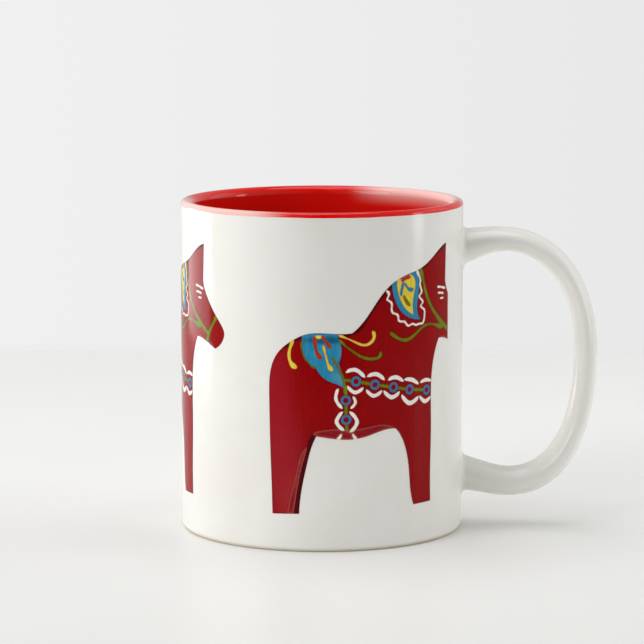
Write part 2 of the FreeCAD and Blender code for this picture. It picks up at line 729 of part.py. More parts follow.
# ---- the whole mug ----------------------------------------------------------------------------------
def ceramics():
    """The clay pieces and their glazes."""
    clay = handle_clay()
    rooted_clay = rooted_handle(GLAZE)
    lower, upper = root_joints(rooted_clay, clay)
    return {
        "mug_body": mug_body(),
        "handle": clay,
        "lower_handle_joint": lower,
        "upper_handle_joint": upper,
        "lining_glaze": lining_glaze(),
        "wall_glaze": wall_glaze().cut(rooted_clay),
        "handle_glaze": rooted_handle(0).cut(rooted_clay),
        "foot_glaze": foot_glaze(),
    }


def main():
    """Write one file for each piece."""
    os.makedirs("parts", exist_ok=True)
    for name, shape in {**ceramics(), **prints()}.items():
        shape.exportStep(f"parts/{name}.step")


main()
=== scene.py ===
"""The finished look of a two-tone ceramic mug with three painted horses printed round its wall.

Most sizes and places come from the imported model.  Lengths below are in millimetres, and MM turns them
into the metres that Blender works in.
"""

import json
import logging
import math
from collections.abc import Callable, Sequence
from dataclasses import dataclass, field
from enum import Enum

import bmesh
import bpy
import numpy as np
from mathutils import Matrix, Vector, geometry, kdtree
from mathutils.bvhtree import BVHTree


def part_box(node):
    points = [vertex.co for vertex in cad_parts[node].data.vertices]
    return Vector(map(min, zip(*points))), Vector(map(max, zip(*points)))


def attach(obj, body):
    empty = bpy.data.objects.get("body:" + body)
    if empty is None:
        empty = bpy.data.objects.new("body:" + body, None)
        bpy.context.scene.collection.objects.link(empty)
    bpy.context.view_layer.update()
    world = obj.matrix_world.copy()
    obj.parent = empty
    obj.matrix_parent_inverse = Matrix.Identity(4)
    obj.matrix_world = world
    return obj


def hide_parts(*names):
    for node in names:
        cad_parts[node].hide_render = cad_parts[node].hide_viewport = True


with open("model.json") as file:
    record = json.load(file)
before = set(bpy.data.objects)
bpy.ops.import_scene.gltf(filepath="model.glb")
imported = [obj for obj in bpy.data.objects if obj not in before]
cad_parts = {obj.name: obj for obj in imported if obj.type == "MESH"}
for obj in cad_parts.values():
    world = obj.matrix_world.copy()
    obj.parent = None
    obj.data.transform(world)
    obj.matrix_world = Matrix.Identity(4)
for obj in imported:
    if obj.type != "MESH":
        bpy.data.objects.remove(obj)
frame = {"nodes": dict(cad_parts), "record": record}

LOG = logging.getLogger("mug")
MM = 0.001
BODY = "root"
EDGE_ROOM = "edge_room"


class Finish(Enum):
    """The record's slots for the ceramic pieces."""

    CLAY = "bare_clay"
    WHITE_GLAZE = "white_glaze"
    RED_GLAZE = "red_glaze"


class Ink(Enum):
    """The printed colours, in the order that they are laid down."""

    RED = "red"
    LIGHT_RED = "light_red"
    DARK_RED = "dark_red"
    BLUE = "blue"
    GREEN = "green"
    YELLOW = "yellow"
    ORANGE = "orange"
    WHITE = "white"

    @property
    def slot(self) -> str:
        """The record's slot for this ink."""
        return f"{self.value}_ink"


class Horse(Enum):
    """The three horses, in the order that they stand round the wall from one side of the handle."""

    FIRST = "first_horse"
    MIDDLE = "middle_horse"
    LAST = "last_horse"


# ---- sizes -----------------------------------------------------------------------------------------
def low(node: str) -> Vector:
    """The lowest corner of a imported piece, in millimetres."""
    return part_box(node)[0] / MM


def high(node: str) -> Vector:
    """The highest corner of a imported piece, in millimetres."""
    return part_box(node)[1] / MM


@dataclass(frozen=True)
class MugSizes:
    """The sizes that the pieces share, in millimetres.

    Attributes:
        outer: the wall's radius with its glaze.
        bore: the radius inside.
        height: the mug's height.
        glaze: how thick the glazes are.
        floor: how high the floor inside is.
        lip_foot: the height at which the white glaze ends and the lining's colour starts.
        bare_band: the height at which the wall's glaze starts.
        recess: how high the hollow under the mug is.
        recess_wall: the hollow's radius.
        inner_corner: the round between the wall and the floor inside.
        lip_outer_round: the lip's outer round.
        foot_round: the rounds of the foot ring.
        foot_ring: how wide the flat of the foot ring is.
    """

    outer: float
    bore: float
    height: float
    glaze: float
    floor: float
    lip_foot: float
    bare_band: float
    recess: float
    recess_wall: float
    inner_corner: float = 7.0
    lip_outer_round: float = 1.3
    foot_round: float = 1.0
    foot_ring: float = 4.2

    @classmethod
    def measured(cls, record: dict) -> "MugSizes":
        """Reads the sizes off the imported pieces.

        Args:
            record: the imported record, whose bore mount gives the inside radius.

        Returns:
            The sizes, rounded to a hundredth of a millimetre.
        """
        mouth = next(m for m in record["mounts"] if m["kind"] == "bore")
        outer = high("wall_glaze").y
        clay_outer = high("mug_body").y
        thickness = round(outer - clay_outer, 2)
        return cls(
            outer=round(outer, 2),
            bore=mouth["dims"]["r_mm"],
            height=round(high("lining_glaze").z, 2),
            glaze=thickness,
            floor=round(low("lining_glaze").z + thickness, 2),
            lip_foot=round(high("wall_glaze").z, 2),
            bare_band=round(low("wall_glaze").z, 2),
            recess=round(high("foot_glaze").z, 2),
            recess_wall=round(high("foot_glaze").y, 2),
        )

    @property
    def lip_crest(self) -> float:
        """The radius at which the lip is highest."""
        return self.outer - self.lip_outer_round

    @property
    def lip_inner_round(self) -> float:
        """The radius of the lip's inner round."""
        return self.lip_crest - self.bore


# How the dipped edge of the lining's colour strays: each wave's height in millimetres, how many of it
# make a full turn, and where it starts in radians.
LIP_WAVES = ((0.045, 3, 0.6), (0.035, 7, 2.1), (0.02, 19, 4.0), (0.012, 43, 1.3))


def lip_line(turn: np.ndarray) -> np.ndarray:
    """How far the edge of the lining's colour strays from level, as a dipped edge does.

    Args:
        turn: angles round the mug, in radians.

    Returns:
        Heights above the level line, in millimetres.
    """
    return sum(height * np.sin(waves * turn + start) for height, waves, start in LIP_WAVES)


# ---- mesh building -----------------------------------------------------------------------------------
Point = tuple[float, float]
Section = list[Point]
ON_AXIS = 1e-6
TINY = 1e-9


def arc(centre: Point, radius: float, start: float, end: float, steps: int) -> Section:
    """Points along a round of a turned section.

    Args:
        centre: the round's centre, as radius and height.
        radius: the round's own radius.
        start: the first point's angle in degrees, from outwards up.
        end: the last point's angle in degrees.
        steps: how many stretches the round is made of.

    Returns:
        The points, both ends among them.
    """
    angles = np.radians(np.linspace(start, end, steps + 1))
    return [(centre[0] + radius * math.cos(a), centre[1] + radius * math.sin(a)) for a in angles]


def stretch(start: Point, end: Point, steps: int) -> Section:
    """Points along a straight stretch of a turned section, without its ends."""
    shares = [step / steps for step in range(1, steps)]
    return [(start[0] + (end[0] - start[0]) * s, start[1] + (end[1] - start[1]) * s) for s in shares]


def leg(start: Point, end: Point, steps: int) -> Section:
    """The points of a straight stretch with its end among them, but not its start."""
    return stretch(start, end, steps) + [end]


def read(
    items: bpy.types.bpy_prop_collection, what: str, width: int = 1, kind: type = np.float32
) -> np.ndarray:
    """One property of every point, corner or face of a mesh.

    Args:
        items: the mesh's points, corners, triangles or faces.
        what: the property's name.
        width: how many numbers each item has.
        kind: the numbers' type.

    Returns:
        A row for each item, or a plain array if each has one number.
    """
    values = np.empty(len(items) * width, kind)
    items.foreach_get(what, values)
    return values.reshape(-1, width) if width > 1 else values


def new_piece(name: str, points: np.ndarray, faces: Sequence[Sequence[int]]) -> bpy.types.Object:
    """A mesh object from points in millimetres, with its faces turned outwards.

    Args:
        name: the piece's name.
        points: one row for each point.
        faces: the points of each face.

    Returns:
        The object, linked into the scene.
    """
    mesh = bpy.data.meshes.new(name)
    mesh.from_pydata((np.asarray(points) * MM).tolist(), [], [list(f) for f in faces])
    work = bmesh.new()
    work.from_mesh(mesh)
    bmesh.ops.recalc_face_normals(work, faces=work.faces)
    work.to_mesh(mesh)
    work.free()
    piece = bpy.data.objects.new(name, mesh)
    bpy.context.scene.collection.objects.link(piece)
    return piece


def smooth(piece: bpy.types.Object, corner_degrees: float = 35.0) -> None:
    """Shades a piece smooth, but for a hard edge at each sharp corner.

    Args:
        piece: the piece.
        corner_degrees: how sharp a corner has to be to stay hard.
    """
    mesh = piece.data
    mesh.shade_smooth()
    mesh.set_sharp_from_angle(angle=math.radians(corner_degrees))


def turned(name: str, section: Section, closed: bool, segments: int = 384) -> bpy.types.Object:
    """A turned piece.

    Args:
        name: the piece's name.
        section: points of radius and height. An open section starts and ends on the axis.
        closed: True if the section's last point joins its first.
        segments: how many flats make a full turn.

    Returns:
        The piece, shaded smooth.
    """
    turns = np.linspace(0, 2 * math.pi, segments, endpoint=False)
    points: list[tuple[float, float, float]] = []
    rows: list[list[int]] = []
    for radius, height in section:
        if radius < ON_AXIS:
            rows.append([len(points)] * segments)
            points.append((0.0, 0.0, height))
            continue
        rows.append(list(range(len(points), len(points) + segments)))
        points += [(radius * math.cos(a), radius * math.sin(a), height) for a in turns]
    pairs = list(zip(rows, rows[1:] + rows[:1])) if closed else list(zip(rows, rows[1:]))
    faces = []
    for near, far in pairs:
        for i in range(segments):
            j = (i + 1) % segments
            corners = [near[i], near[j], far[j], far[i]]
            faces.append(list(dict.fromkeys(corners)))
    piece = new_piece(name, np.array(points), faces)
    smooth(piece)
    return piece


def shift_edge(piece: bpy.types.Object, sizes: MugSizes, outside: float, fade: tuple[float, float]) -> None:
    """Lets a level edge outside the wall stray as the lip's line does.

    Args:
        piece: the turned piece.
        sizes: the mug's sizes; not used.
        outside: only points past this radius move.
        fade: the heights at which the move is whole and at which it has died away.
    """
    mesh = piece.data
    points = read(mesh.vertices, "co", 3) / MM
    radius = np.hypot(points[:, 0], points[:, 1])
    height = points[:, 2]
    slack = 0.01
    share = np.clip((height - fade[1]) / (fade[0] - fade[1]), 0, 1) * (radius > outside)
    share[(height < min(fade) - slack) | (height > max(fade) + slack)] = 0
    points[:, 2] += share * lip_line(np.arctan2(points[:, 1], points[:, 0]))
    mesh.vertices.foreach_set("co", (points * MM).astype(np.float32).ravel())
    mesh.update()


def aim_normals(piece: bpy.types.Object, chosen: Callable[[np.ndarray, np.ndarray], np.ndarray]) -> None:
    """Points the shading of chosen faces straight out from the mug's axis.

    Args:
        piece: the piece, already shaded.
        chosen: takes the faces' centres in millimetres and their normals, and says which to aim.
    """
    mesh = piece.data
    facing = read(mesh.polygons, "normal", 3)
    picked = chosen(read(mesh.polygons, "center", 3) / MM, facing)
    sizes = read(mesh.polygons, "loop_total", kind=np.int32)
    faces = np.repeat(np.arange(len(sizes)), sizes)
    out = read(mesh.vertices, "co", 3)[read(mesh.loops, "vertex_index", kind=np.int32)]
    out[:, 2] = 0
    out /= np.maximum(np.linalg.norm(out, axis=1, keepdims=True), TINY)
    out *= np.sign((out * facing[faces]).sum(1))[:, None]
    out[~picked[faces]] = 0
    mesh.normals_split_custom_set(out.tolist())


def cut_away(piece: bpy.types.Object, cutters: Sequence[bpy.types.Object]) -> None:
    """Takes the cutters' shapes out of a piece, and removes the cutters.

    Args:
        piece: the piece to cut.
        cutters: closed shapes.
    """
    for cutter in cutters:
        cut = piece.modifiers.new("cut", "BOOLEAN")
        cut.operation = "DIFFERENCE"
        cut.solver = "EXACT"
        cut.object = cutter
    graph = bpy.context.evaluated_depsgraph_get()
    mesh = bpy.data.meshes.new_from_object(piece.evaluated_get(graph))
    piece.modifiers.clear()
    piece.data = mesh
    mesh.name = piece.name
    for cutter in cutters:
        bpy.data.objects.remove(cutter)


def smooth_curve(knots: np.ndarray) -> Callable[[np.ndarray], np.ndarray]:
    """A smooth curve through points, as a function of a share from 0 to 1 along it.

    Args:
        knots: one row for each point.

    Returns:
        A function that takes an array of shares and gives the curve's points there.
    """
    steps = np.linalg.norm(np.diff(knots, axis=0), axis=1)
    places = np.concatenate([[0.0], np.cumsum(steps)])
    count = len(knots)
    left = np.eye(count)
    right = np.zeros_like(knots)
    for i in range(1, count - 1):
        left[i, i - 1: i + 2] = steps[i - 1], 2 * (steps[i - 1] + steps[i]), steps[i]
        rise, fall = (knots[i + 1] - knots[i]) / steps[i], (knots[i] - knots[i - 1]) / steps[i - 1]
        right[i] = 6 * (rise - fall)
    bends = np.linalg.solve(left, right)

    def at(shares: np.ndarray) -> np.ndarray:
        """The curve's points.

        Args:
            shares: how far along the curve each point is, from 0 to 1.

        Returns:
            The points, with a last axis of three.
        """
        along = np.clip(shares, 0, 1) * places[-1]
        i = np.clip(np.searchsorted(places, along, side="right") - 1, 0, count - 2)
        gap = steps[i][..., None]
        after = (along - places[i])[..., None]
        before = gap - after
        curved = (bends[i] * before**3 + bends[i + 1] * after**3) / (6 * gap)
        start = (knots[i] / gap - bends[i] * gap / 6) * before
        end = (knots[i + 1] / gap - bends[i + 1] * gap / 6) * after
        return curved + start + end

    return at


def rounded_tube(rows: np.ndarray, name: str, loop: bool) -> bpy.types.Object:
    """A piece skinned over rings of points.

    Args:
        rows: rings of points, as an array of ring, point on the ring and coordinate.
        name: the piece's name.
        loop: True if the last ring joins the first, and False if both ends are capped.

    Returns:
        The piece, shaded smooth.
    """
    count, around = rows.shape[:2]
    points = rows.reshape(-1, 3)
    faces = []
    for i in range(count if loop else count - 1):
        near, far = i * around, (i + 1) % count * around
        for j in range(around):
            k = (j + 1) % around
            faces.append([near + j, near + k, far + k, far + j])
    if not loop:
        middles = [rows[0].mean(0), rows[-1].mean(0)]
        points = np.vstack([points, middles])
        for ring, middle in ((0, count * around), ((count - 1) * around, count * around + 1)):
            faces += [[ring + j, ring + (j + 1) % around, middle] for j in range(around)]
    piece = new_piece(name, points, faces)
    smooth(piece)
    return piece


# ---- shader building ---------------------------------------------------------------------------------
Socket = bpy.types.NodeSocket
Value = Socket | float | tuple[float, ...]
Colour = tuple[float, float, float, float]


def paint(red: int, green: int, blue: int) -> Colour:
    """A colour as a painter's chart gives it, in the values that shaders use.

    The numbers in it are the screen colour standard's own.

    Args:
        red: how much red, from 0 to 255.
        green: how much green.
        blue: how much blue.

    Returns:
        The linear colour, opaque.
    """
    shares = [value / 255 for value in (red, green, blue)]
    linear = [s / 12.92 if s <= 0.04045 else ((s + 0.055) / 1.055) ** 2.4 for s in shares]
    return (*linear, 1.0)


PINHOLE = paint(150, 128, 104)
# Where most values of soft noise lie.
USUAL_NOISE = (0.3, 0.7)


@dataclass
class Graph:
    """A node tree with short ways to add to it."""

    tree: bpy.types.NodeTree

    def node(
        self, kind: str, feeds: dict[str | int, Value] | None = None, **settings: object
    ) -> bpy.types.Node:
        """Adds a node.

        Args:
            kind: the node's type, such as ShaderNodeMath.
            feeds: what each input gets: another node's output, or a plain value.
            settings: the node's own properties.

        Returns:
            The node.
        """
        made = self.tree.nodes.new(kind)
        for name, setting in settings.items():
            setattr(made, name, setting)
        for name, value in (feeds or {}).items():
            self.feed(made.inputs[name], value)
        return made

    def feed(self, socket: Socket, value: Value) -> None:
        """Feeds an input.

        Args:
            socket: the input.
            value: an output to link to it, or its plain value.
        """
        if isinstance(value, bpy.types.NodeSocket):
            self.tree.links.new(value, socket)
        else:
            socket.default_value = value

    def math(self, operation: str, *values: Value) -> Socket:
        """The result of a Math node."""
        return self.node("ShaderNodeMath", dict(enumerate(values)), operation=operation).outputs[0]

    def vector(self, operation: str, *values: Value) -> Socket:
        """The result of a Vector Math node."""
        return self.node("ShaderNodeVectorMath", dict(enumerate(values)), operation=operation).outputs[0]

    def measure(self, operation: str, *values: Value) -> Socket:
        """The plain number that a Vector Math node gives."""
        return self.vector(operation, *values).node.outputs["Value"]

    def join(self, x: Value, y: Value, z: Value) -> Socket:
        """A vector made of three numbers."""
        return self.node("ShaderNodeCombineXYZ", {0: x, 1: y, 2: z}).outputs[0]

    def split(self, vector: Value) -> bpy.types.bpy_prop_collection:
        """The three numbers of a vector."""
        return self.node("ShaderNodeSeparateXYZ", {0: vector}).outputs

    def blend(self, share: Value, below: Value, above: Value) -> Socket:
        """One colour laid over another.

        Args:
            share: how much of the upper colour shows, from 0 to 1.
            below: the lower colour.
            above: the upper colour.

        Returns:
            The blended colour.
        """
        return self.node("ShaderNodeMix", {0: share, 6: below, 7: above}, data_type="RGBA").outputs[2]

    def ramp(self, value: Value, start: float, end: float, first: Value = 0.0, last: Value = 1.0) -> Socket:
        """A smooth change from a first value to a last one as the input goes from start to end."""
        feeds = {"Value": value, "From Min": start, "From Max": end, "To Min": first, "To Max": last}
        return self.node("ShaderNodeMapRange", feeds, interpolation_type="SMOOTHSTEP").outputs[0]

    def noise(self, place: Value, scale: Value, detail: float = 2.0, rough: float = 0.5) -> Socket:
        """Soft noise from 0 to 1."""
        feeds = {"Vector": place, "Scale": scale, "Detail": detail, "Roughness": rough}
        return self.node("ShaderNodeTexNoise", feeds, noise_dimensions="3D").outputs[0]

    def bump(self, height: Value) -> Socket:
        """A surface raised by a height in millimetres, as a normal."""
        return self.node("ShaderNodeBump", {"Height": height, "Distance": MM, "Strength": 1.0}).outputs[0]

    def group(self, tree: bpy.types.NodeTree, feeds: dict[str, Value] | None = None) -> bpy.types.Node:
        """Places a shared effect.

        Args:
            tree: the effect.
            feeds: what its inputs get, where that isn't their usual value.

        Returns:
            The group's node.
        """
        made = self.node("ShaderNodeGroup", node_tree=tree)
        for name, value in (feeds or {}).items():
            self.feed(made.inputs[name], value)
        return made


NUMBER = "NodeSocketFloat"
VECTOR = "NodeSocketVector"
Sockets = dict[str, Socket]


def effect(
    name: str, takes: dict[str, tuple[str, Value]], gives: dict[str, str]
) -> tuple[Graph, Sockets, Sockets]:
    """Starts a shared effect.

    Args:
        name: the effect's name.
        takes: each input's kind and usual value.
        gives: each output's kind.

    Returns:
        The graph to build it in, its inputs by name and the sockets that its outputs are fed through.
    """
    tree = bpy.data.node_groups.new(name, "ShaderNodeTree")
    for label, (kind, usual) in takes.items():
        socket = tree.interface.new_socket(name=label, in_out="INPUT", socket_type=kind)
        if kind != VECTOR:
            socket.default_value = usual
    for label, kind in gives.items():
        tree.interface.new_socket(name=label, in_out="OUTPUT", socket_type=kind)
    source = tree.nodes.new("NodeGroupInput")
    sink = tree.nodes.new("NodeGroupOutput")
    inputs = {label: source.outputs[label] for label in takes}
    outputs = {label: sink.inputs[label] for label in gives}
    return Graph(tree), inputs, outputs


@dataclass
class Effects:
    """The effects that the materials share, each built once.

    Attributes:
        sizes: the mug's sizes.
        pitch: how far apart the horses stand along the wall.
        plumb: the middle horse's plumb line, along the wall from opposite the handle.
        behind: how far behind its plumb line a horse's own stretch of the wall starts.
    """

    sizes: MugSizes
    pitch: float
    plumb: float
    behind: float = 23.0
    place: bpy.types.NodeTree = field(init=False)
    drawing: bpy.types.NodeTree = field(init=False)
    skin: bpy.types.NodeTree = field(init=False)
    grain: bpy.types.NodeTree = field(init=False)
    patch: bpy.types.NodeTree = field(init=False)
    rim: bpy.types.NodeTree = field(init=False)
    specks: bpy.types.NodeTree = field(init=False)

    def __post_init__(self) -> None:
        """Builds every effect."""
        self.place = self.build_place()
        self.drawing = self.build_drawing()
        self.skin = self.build_skin()
        self.grain = self.build_grain()
        self.patch = self.build_patch()
        self.rim = self.build_rim()
        self.specks = self.build_specks()

    def build_place(self) -> bpy.types.NodeTree:
        """Where a point is on the mug, in millimetres, with its height and its radius.

        Returns:
            The effect.
        """
        graph, _, out = effect("place_on_mug", {}, {"Place": VECTOR, "Height": NUMBER, "Radius": NUMBER})
        where = graph.node("ShaderNodeTexCoord").outputs["Object"]
        scaled = graph.vector("MULTIPLY", where, (1 / MM,) * 3)
        parts = graph.split(scaled)
        squares = [graph.math("MULTIPLY", parts[i], parts[i]) for i in (0, 1)]
        graph.feed(out["Place"], scaled)
        graph.feed(out["Height"], parts[2])
        graph.feed(out["Radius"], graph.math("SQRT", graph.math("ADD", *squares)))
        return graph.tree

    def build_drawing(self) -> bpy.types.NodeTree:
        """Where a point is in its own horse's drawing: X along the wall from the saddle, Y up.

        Returns:
            The effect.
        """
        takes = {
            "Wall Radius": (NUMBER, self.sizes.outer),
            "Plumb Line": (NUMBER, self.plumb),
            "Pitch": (NUMBER, self.pitch),
            "Behind": (NUMBER, self.behind),
        }
        graph, given, out = effect("place_in_drawing", takes, {"Place": VECTOR})
        parts = graph.split(graph.group(self.place).outputs["Place"])
        back = [graph.math("MULTIPLY", parts[i], -1.0) for i in (1, 0)]
        along = graph.math("MULTIPLY", graph.math("ARCTAN2", *back), given["Wall Radius"])
        since = graph.math("ADD", graph.math("SUBTRACT", along, given["Plumb Line"]), given["Behind"])
        once = graph.math("FLOORED_MODULO", since, given["Pitch"])
        graph.feed(out["Place"], graph.join(graph.math("SUBTRACT", once, given["Behind"]), parts[2], 0.0))
        return graph.tree

    def build_skin(self) -> bpy.types.NodeTree:
        """The skin of a fired glaze: a slow ripple, a fine orange peel and a few pinholes.

        Returns:
            The effect.
        """
        takes = {
            "Ripple Size": (NUMBER, 9.0),
            "Ripple Depth": (NUMBER, 0.02),
            "Peel Size": (NUMBER, 1.1),
            "Peel Depth": (NUMBER, 0.0016),
            "Pinholes": (NUMBER, 0.3),
        }
        gives = {"Height": NUMBER, "Cloud": NUMBER, "Dullness": NUMBER, "Pinhole": NUMBER}
        hole_scale, hole_edge, hole_depth = 0.21, (0.03, 0.012), 0.05
        cloud_scale, dull_scale = 0.045, 0.35
        graph, given, out = effect("glaze_skin", takes, gives)
        place = graph.group(self.place).outputs["Place"]
        slow = graph.noise(place, graph.math("DIVIDE", 1.0, given["Ripple Size"]), 1.0)
        fine = graph.noise(place, graph.math("DIVIDE", 1.0, given["Peel Size"]), 2.0, 0.6)
        cells = graph.node(
            "ShaderNodeTexVoronoi", {"Vector": place, "Scale": hole_scale, "Randomness": 1.0}, feature="F1"
        )
        opening = graph.ramp(cells.outputs["Distance"], *hole_edge)
        pinhole = graph.math("MULTIPLY", opening, given["Pinholes"])
        ripple = graph.math("MULTIPLY", slow, given["Ripple Depth"])
        peel = graph.math("MULTIPLY", fine, given["Peel Depth"])
        hole = graph.math("MULTIPLY", pinhole, hole_depth)
        graph.feed(out["Height"], graph.math("SUBTRACT", graph.math("ADD", ripple, peel), hole))
        graph.feed(out["Cloud"], graph.noise(place, cloud_scale, 3.0, 0.55))
        graph.feed(out["Dullness"], graph.noise(place, dull_scale, 3.0, 0.6))
        graph.feed(out["Pinhole"], pinhole)
        return graph.tree

    def build_grain(self) -> bpy.types.NodeTree:
        """Brushwork: long soft streaks crossed by a fine mottle, as dry paint on carved wood has.

        Returns:
            The effect.
        """
        takes = {
            "Place": (VECTOR, 0.0),
            "Streak Across": (NUMBER, 1.4),
            "Streak Along": (NUMBER, 0.16),
            "Mottle": (NUMBER, 2.6),
        }
        graph, given, out = effect("brush_grain", takes, {"Streak": NUMBER, "Mottle": NUMBER})
        pull = graph.join(given["Streak Across"], given["Streak Along"], 1.0)
        graph.feed(out["Streak"], graph.noise(graph.vector("MULTIPLY", given["Place"], pull), 1.0, 3.0, 0.6))
        graph.feed(out["Mottle"], graph.noise(given["Place"], given["Mottle"], 4.0, 0.7))
        return graph.tree

    def build_patch(self) -> bpy.types.NodeTree:
        """A soft oval patch of the drawing, 1 at its middle and 0 at its edge.

        Returns:
            The effect.
        """
        takes = {
            "Place": (VECTOR, 0.0),
            "Along": (NUMBER, 0.0),
            "Up": (NUMBER, 0.0),
            "Half Width": (NUMBER, 1.0),
            "Half Height": (NUMBER, 1.0),
            "Lean": (NUMBER, 0.0),
        }
        graph, given, out = effect("soft_patch", takes, {"Mask": NUMBER})
        centre = graph.join(given["Along"], given["Up"], 0.0)
        offset = graph.vector("SUBTRACT", given["Place"], centre)
        leaned = graph.node(
            "ShaderNodeVectorRotate", {"Vector": offset, "Angle": given["Lean"]}, rotation_type="Z_AXIS"
        ).outputs[0]
        reach = graph.join(given["Half Width"], given["Half Height"], 1.0)
        away = graph.measure("LENGTH", graph.vector("DIVIDE", leaned, reach))
        graph.feed(out["Mask"], graph.ramp(away, 1.0, 0.25))
        return graph.tree

    def build_rim(self) -> bpy.types.NodeTree:
        """The edge of a patch of ink, 1 at its edge and 0 past a width, with a brush's wobble.

        Returns:
            The effect.
        """
        takes = {"Place": (VECTOR, 0.0), "Width": (NUMBER, 0.4), "Wobble": (NUMBER, 0.5)}
        graph, given, out = effect("ink_rim", takes, {"Mask": NUMBER})
        wobble_scale = 1.3
        room = graph.node("ShaderNodeAttribute", attribute_name=EDGE_ROOM).outputs["Fac"]
        noise = graph.math("SUBTRACT", graph.noise(given["Place"], wobble_scale, 2.0), 0.5)
        wobble = graph.math("MULTIPLY", graph.math("MULTIPLY", noise, given["Wobble"]), given["Width"])
        share = graph.math("DIVIDE", graph.math("ADD", room, wobble), given["Width"])
        graph.feed(out["Mask"], graph.ramp(share, 1.0, 0.15))
        return graph.tree

    def build_specks(self) -> bpy.types.NodeTree:
        """Iron specks and sand in bare fired clay.

        Returns:
            The effect.
        """
        specked_from, sand_scale = 0.72, 5.5
        takes = {"Spacing": (NUMBER, 0.9), "Size": (NUMBER, 0.16)}
        graph, given, out = effect("iron_specks", takes, {"Mask": NUMBER, "Sand": NUMBER})
        place = graph.group(self.place).outputs["Place"]
        scale = graph.math("DIVIDE", 1.0, given["Spacing"])
        cells = graph.node("ShaderNodeTexVoronoi", {"Vector": place, "Scale": scale}, feature="F1").outputs
        chance = graph.node("ShaderNodeSeparateColor", {0: cells["Color"]}).outputs[0]
        sparse = graph.math("GREATER_THAN", chance, specked_from)
        near = graph.math("LESS_THAN", cells["Distance"], given["Size"])
        graph.feed(out["Mask"], graph.math("MULTIPLY", sparse, near))
        graph.feed(out["Sand"], graph.noise(place, sand_scale, 4.0, 0.7))
        return graph.tree


# ---- finishes ----------------------------------------------------------------------------------------
def new_material(name: str) -> tuple[bpy.types.Material, Graph, bpy.types.Node]:
    """An empty material with its Principled shader in place.

    Args:
        name: the material's name.

    Returns:
        The material, its graph and the shader.
    """
    made = bpy.data.materials.new(name)
    made.use_nodes = True
    made.node_tree.nodes.clear()
    graph = Graph(made.node_tree)
    shader = graph.node("ShaderNodeBsdfPrincipled")
    graph.node("ShaderNodeOutputMaterial", {"Surface": shader.outputs[0]})
    return made, graph, shader


@dataclass(frozen=True)
class PaintedLipReflection:
    """A painted reflection of a bright window inside and over the lip, on two opposite sides: a pale colour
    laid into the glaze.

    Attributes:
        colour: the painted reflection's colour.
        side: the way to one of the sides, in degrees from the handle.
        strength: how much of the colour shows.
        heights: where the colour starts, and where it is whole.
        spread: the same round the mug, as cosines of the angle from that side.
    """

    colour: Colour
    side: float
    strength: float
    heights: tuple[float, float]
    spread: tuple[float, float] = (0.68, 0.93)

    def share(self, graph: Graph, place: bpy.types.bpy_prop_collection) -> Socket:
        """How much of the painted reflection shows, from 0 to 1.

        Args:
            graph: the material's graph.
            place: the outputs of the place effect.

        Returns:
            The share, greatest on the two sides.
        """
        side = math.radians(self.side)
        toward = graph.measure("DOT_PRODUCT", place["Place"], (math.cos(side), math.sin(side), 0.0))
        facing = graph.math("ABSOLUTE", graph.math("DIVIDE", toward, place["Radius"]))
        wide = graph.ramp(facing, *self.spread)
        tall = graph.ramp(place["Height"], *self.heights)
        return graph.math("MULTIPLY", graph.math("MULTIPLY", wide, tall), self.strength)


@dataclass(frozen=True)
class GlazeFinish:
    """A glossy fired glaze over clay.

    Attributes:
        name: the material's name.
        colour: where the glaze is full.
        cloud: what it drifts towards in slow clouds.
        thin: where it runs thin, at an edge.
        roughness: its usual roughness.
        edges: for each edge, the height at which it starts to thin and the one at which it is thinnest.
        specular: how strongly it mirrors.
        painted_reflection: a window's reflection painted inside and over the lip, if it has one.
        wander: how far the edges stray from level, in millimetres.
        pinhole_strength: how much of the clay's colour shows in a pinhole.
        clouds: the values of soft noise at which a cloud starts and is whole.
        dulling: its least and greatest roughness, as shares of the usual one.
    """

    name: str
    colour: Colour
    cloud: Colour
    thin: Colour
    roughness: float
    edges: tuple[tuple[float, float], ...]
    specular: float = 0.5
    painted_reflection: PaintedLipReflection | None = None
    wander: float = 0.5
    pinhole_strength: float = 0.6
    clouds: tuple[float, float] = (0.35, 0.7)
    dulling: tuple[float, float] = (0.75, 1.3)

    def material(self, effects: Effects) -> bpy.types.Material:
        """Builds the glaze.

        Args:
            effects: the shared effects.

        Returns:
            The material.
        """
        made, graph, shader = new_material(self.name)
        skin = graph.group(effects.skin).outputs
        place = graph.group(effects.place).outputs
        coat = graph.blend(graph.ramp(skin["Cloud"], *self.clouds), self.colour, self.cloud)
        stray = graph.math("MULTIPLY", graph.math("SUBTRACT", skin["Dullness"], 0.5), self.wander)
        level = graph.math("ADD", place["Height"], stray)
        for edge in self.edges:
            coat = graph.blend(graph.ramp(level, *edge), coat, self.thin)
        # Painted reflection: a pale colour inside and over the lip where a window would mirror in the glaze.
        if self.painted_reflection:
            coat = graph.blend(self.painted_reflection.share(graph, place), coat, self.painted_reflection.colour)
        pinhole = graph.math("MULTIPLY", skin["Pinhole"], self.pinhole_strength)
        graph.feed(shader.inputs["Base Color"], graph.blend(pinhole, coat, PINHOLE))
        least, most = (self.roughness * share for share in self.dulling)
        graph.feed(shader.inputs["Roughness"], graph.ramp(skin["Dullness"], *USUAL_NOISE, least, most))
        graph.feed(shader.inputs["Normal"], graph.bump(skin["Height"]))
        shader.inputs["Specular IOR Level"].default_value = self.specular
        return made


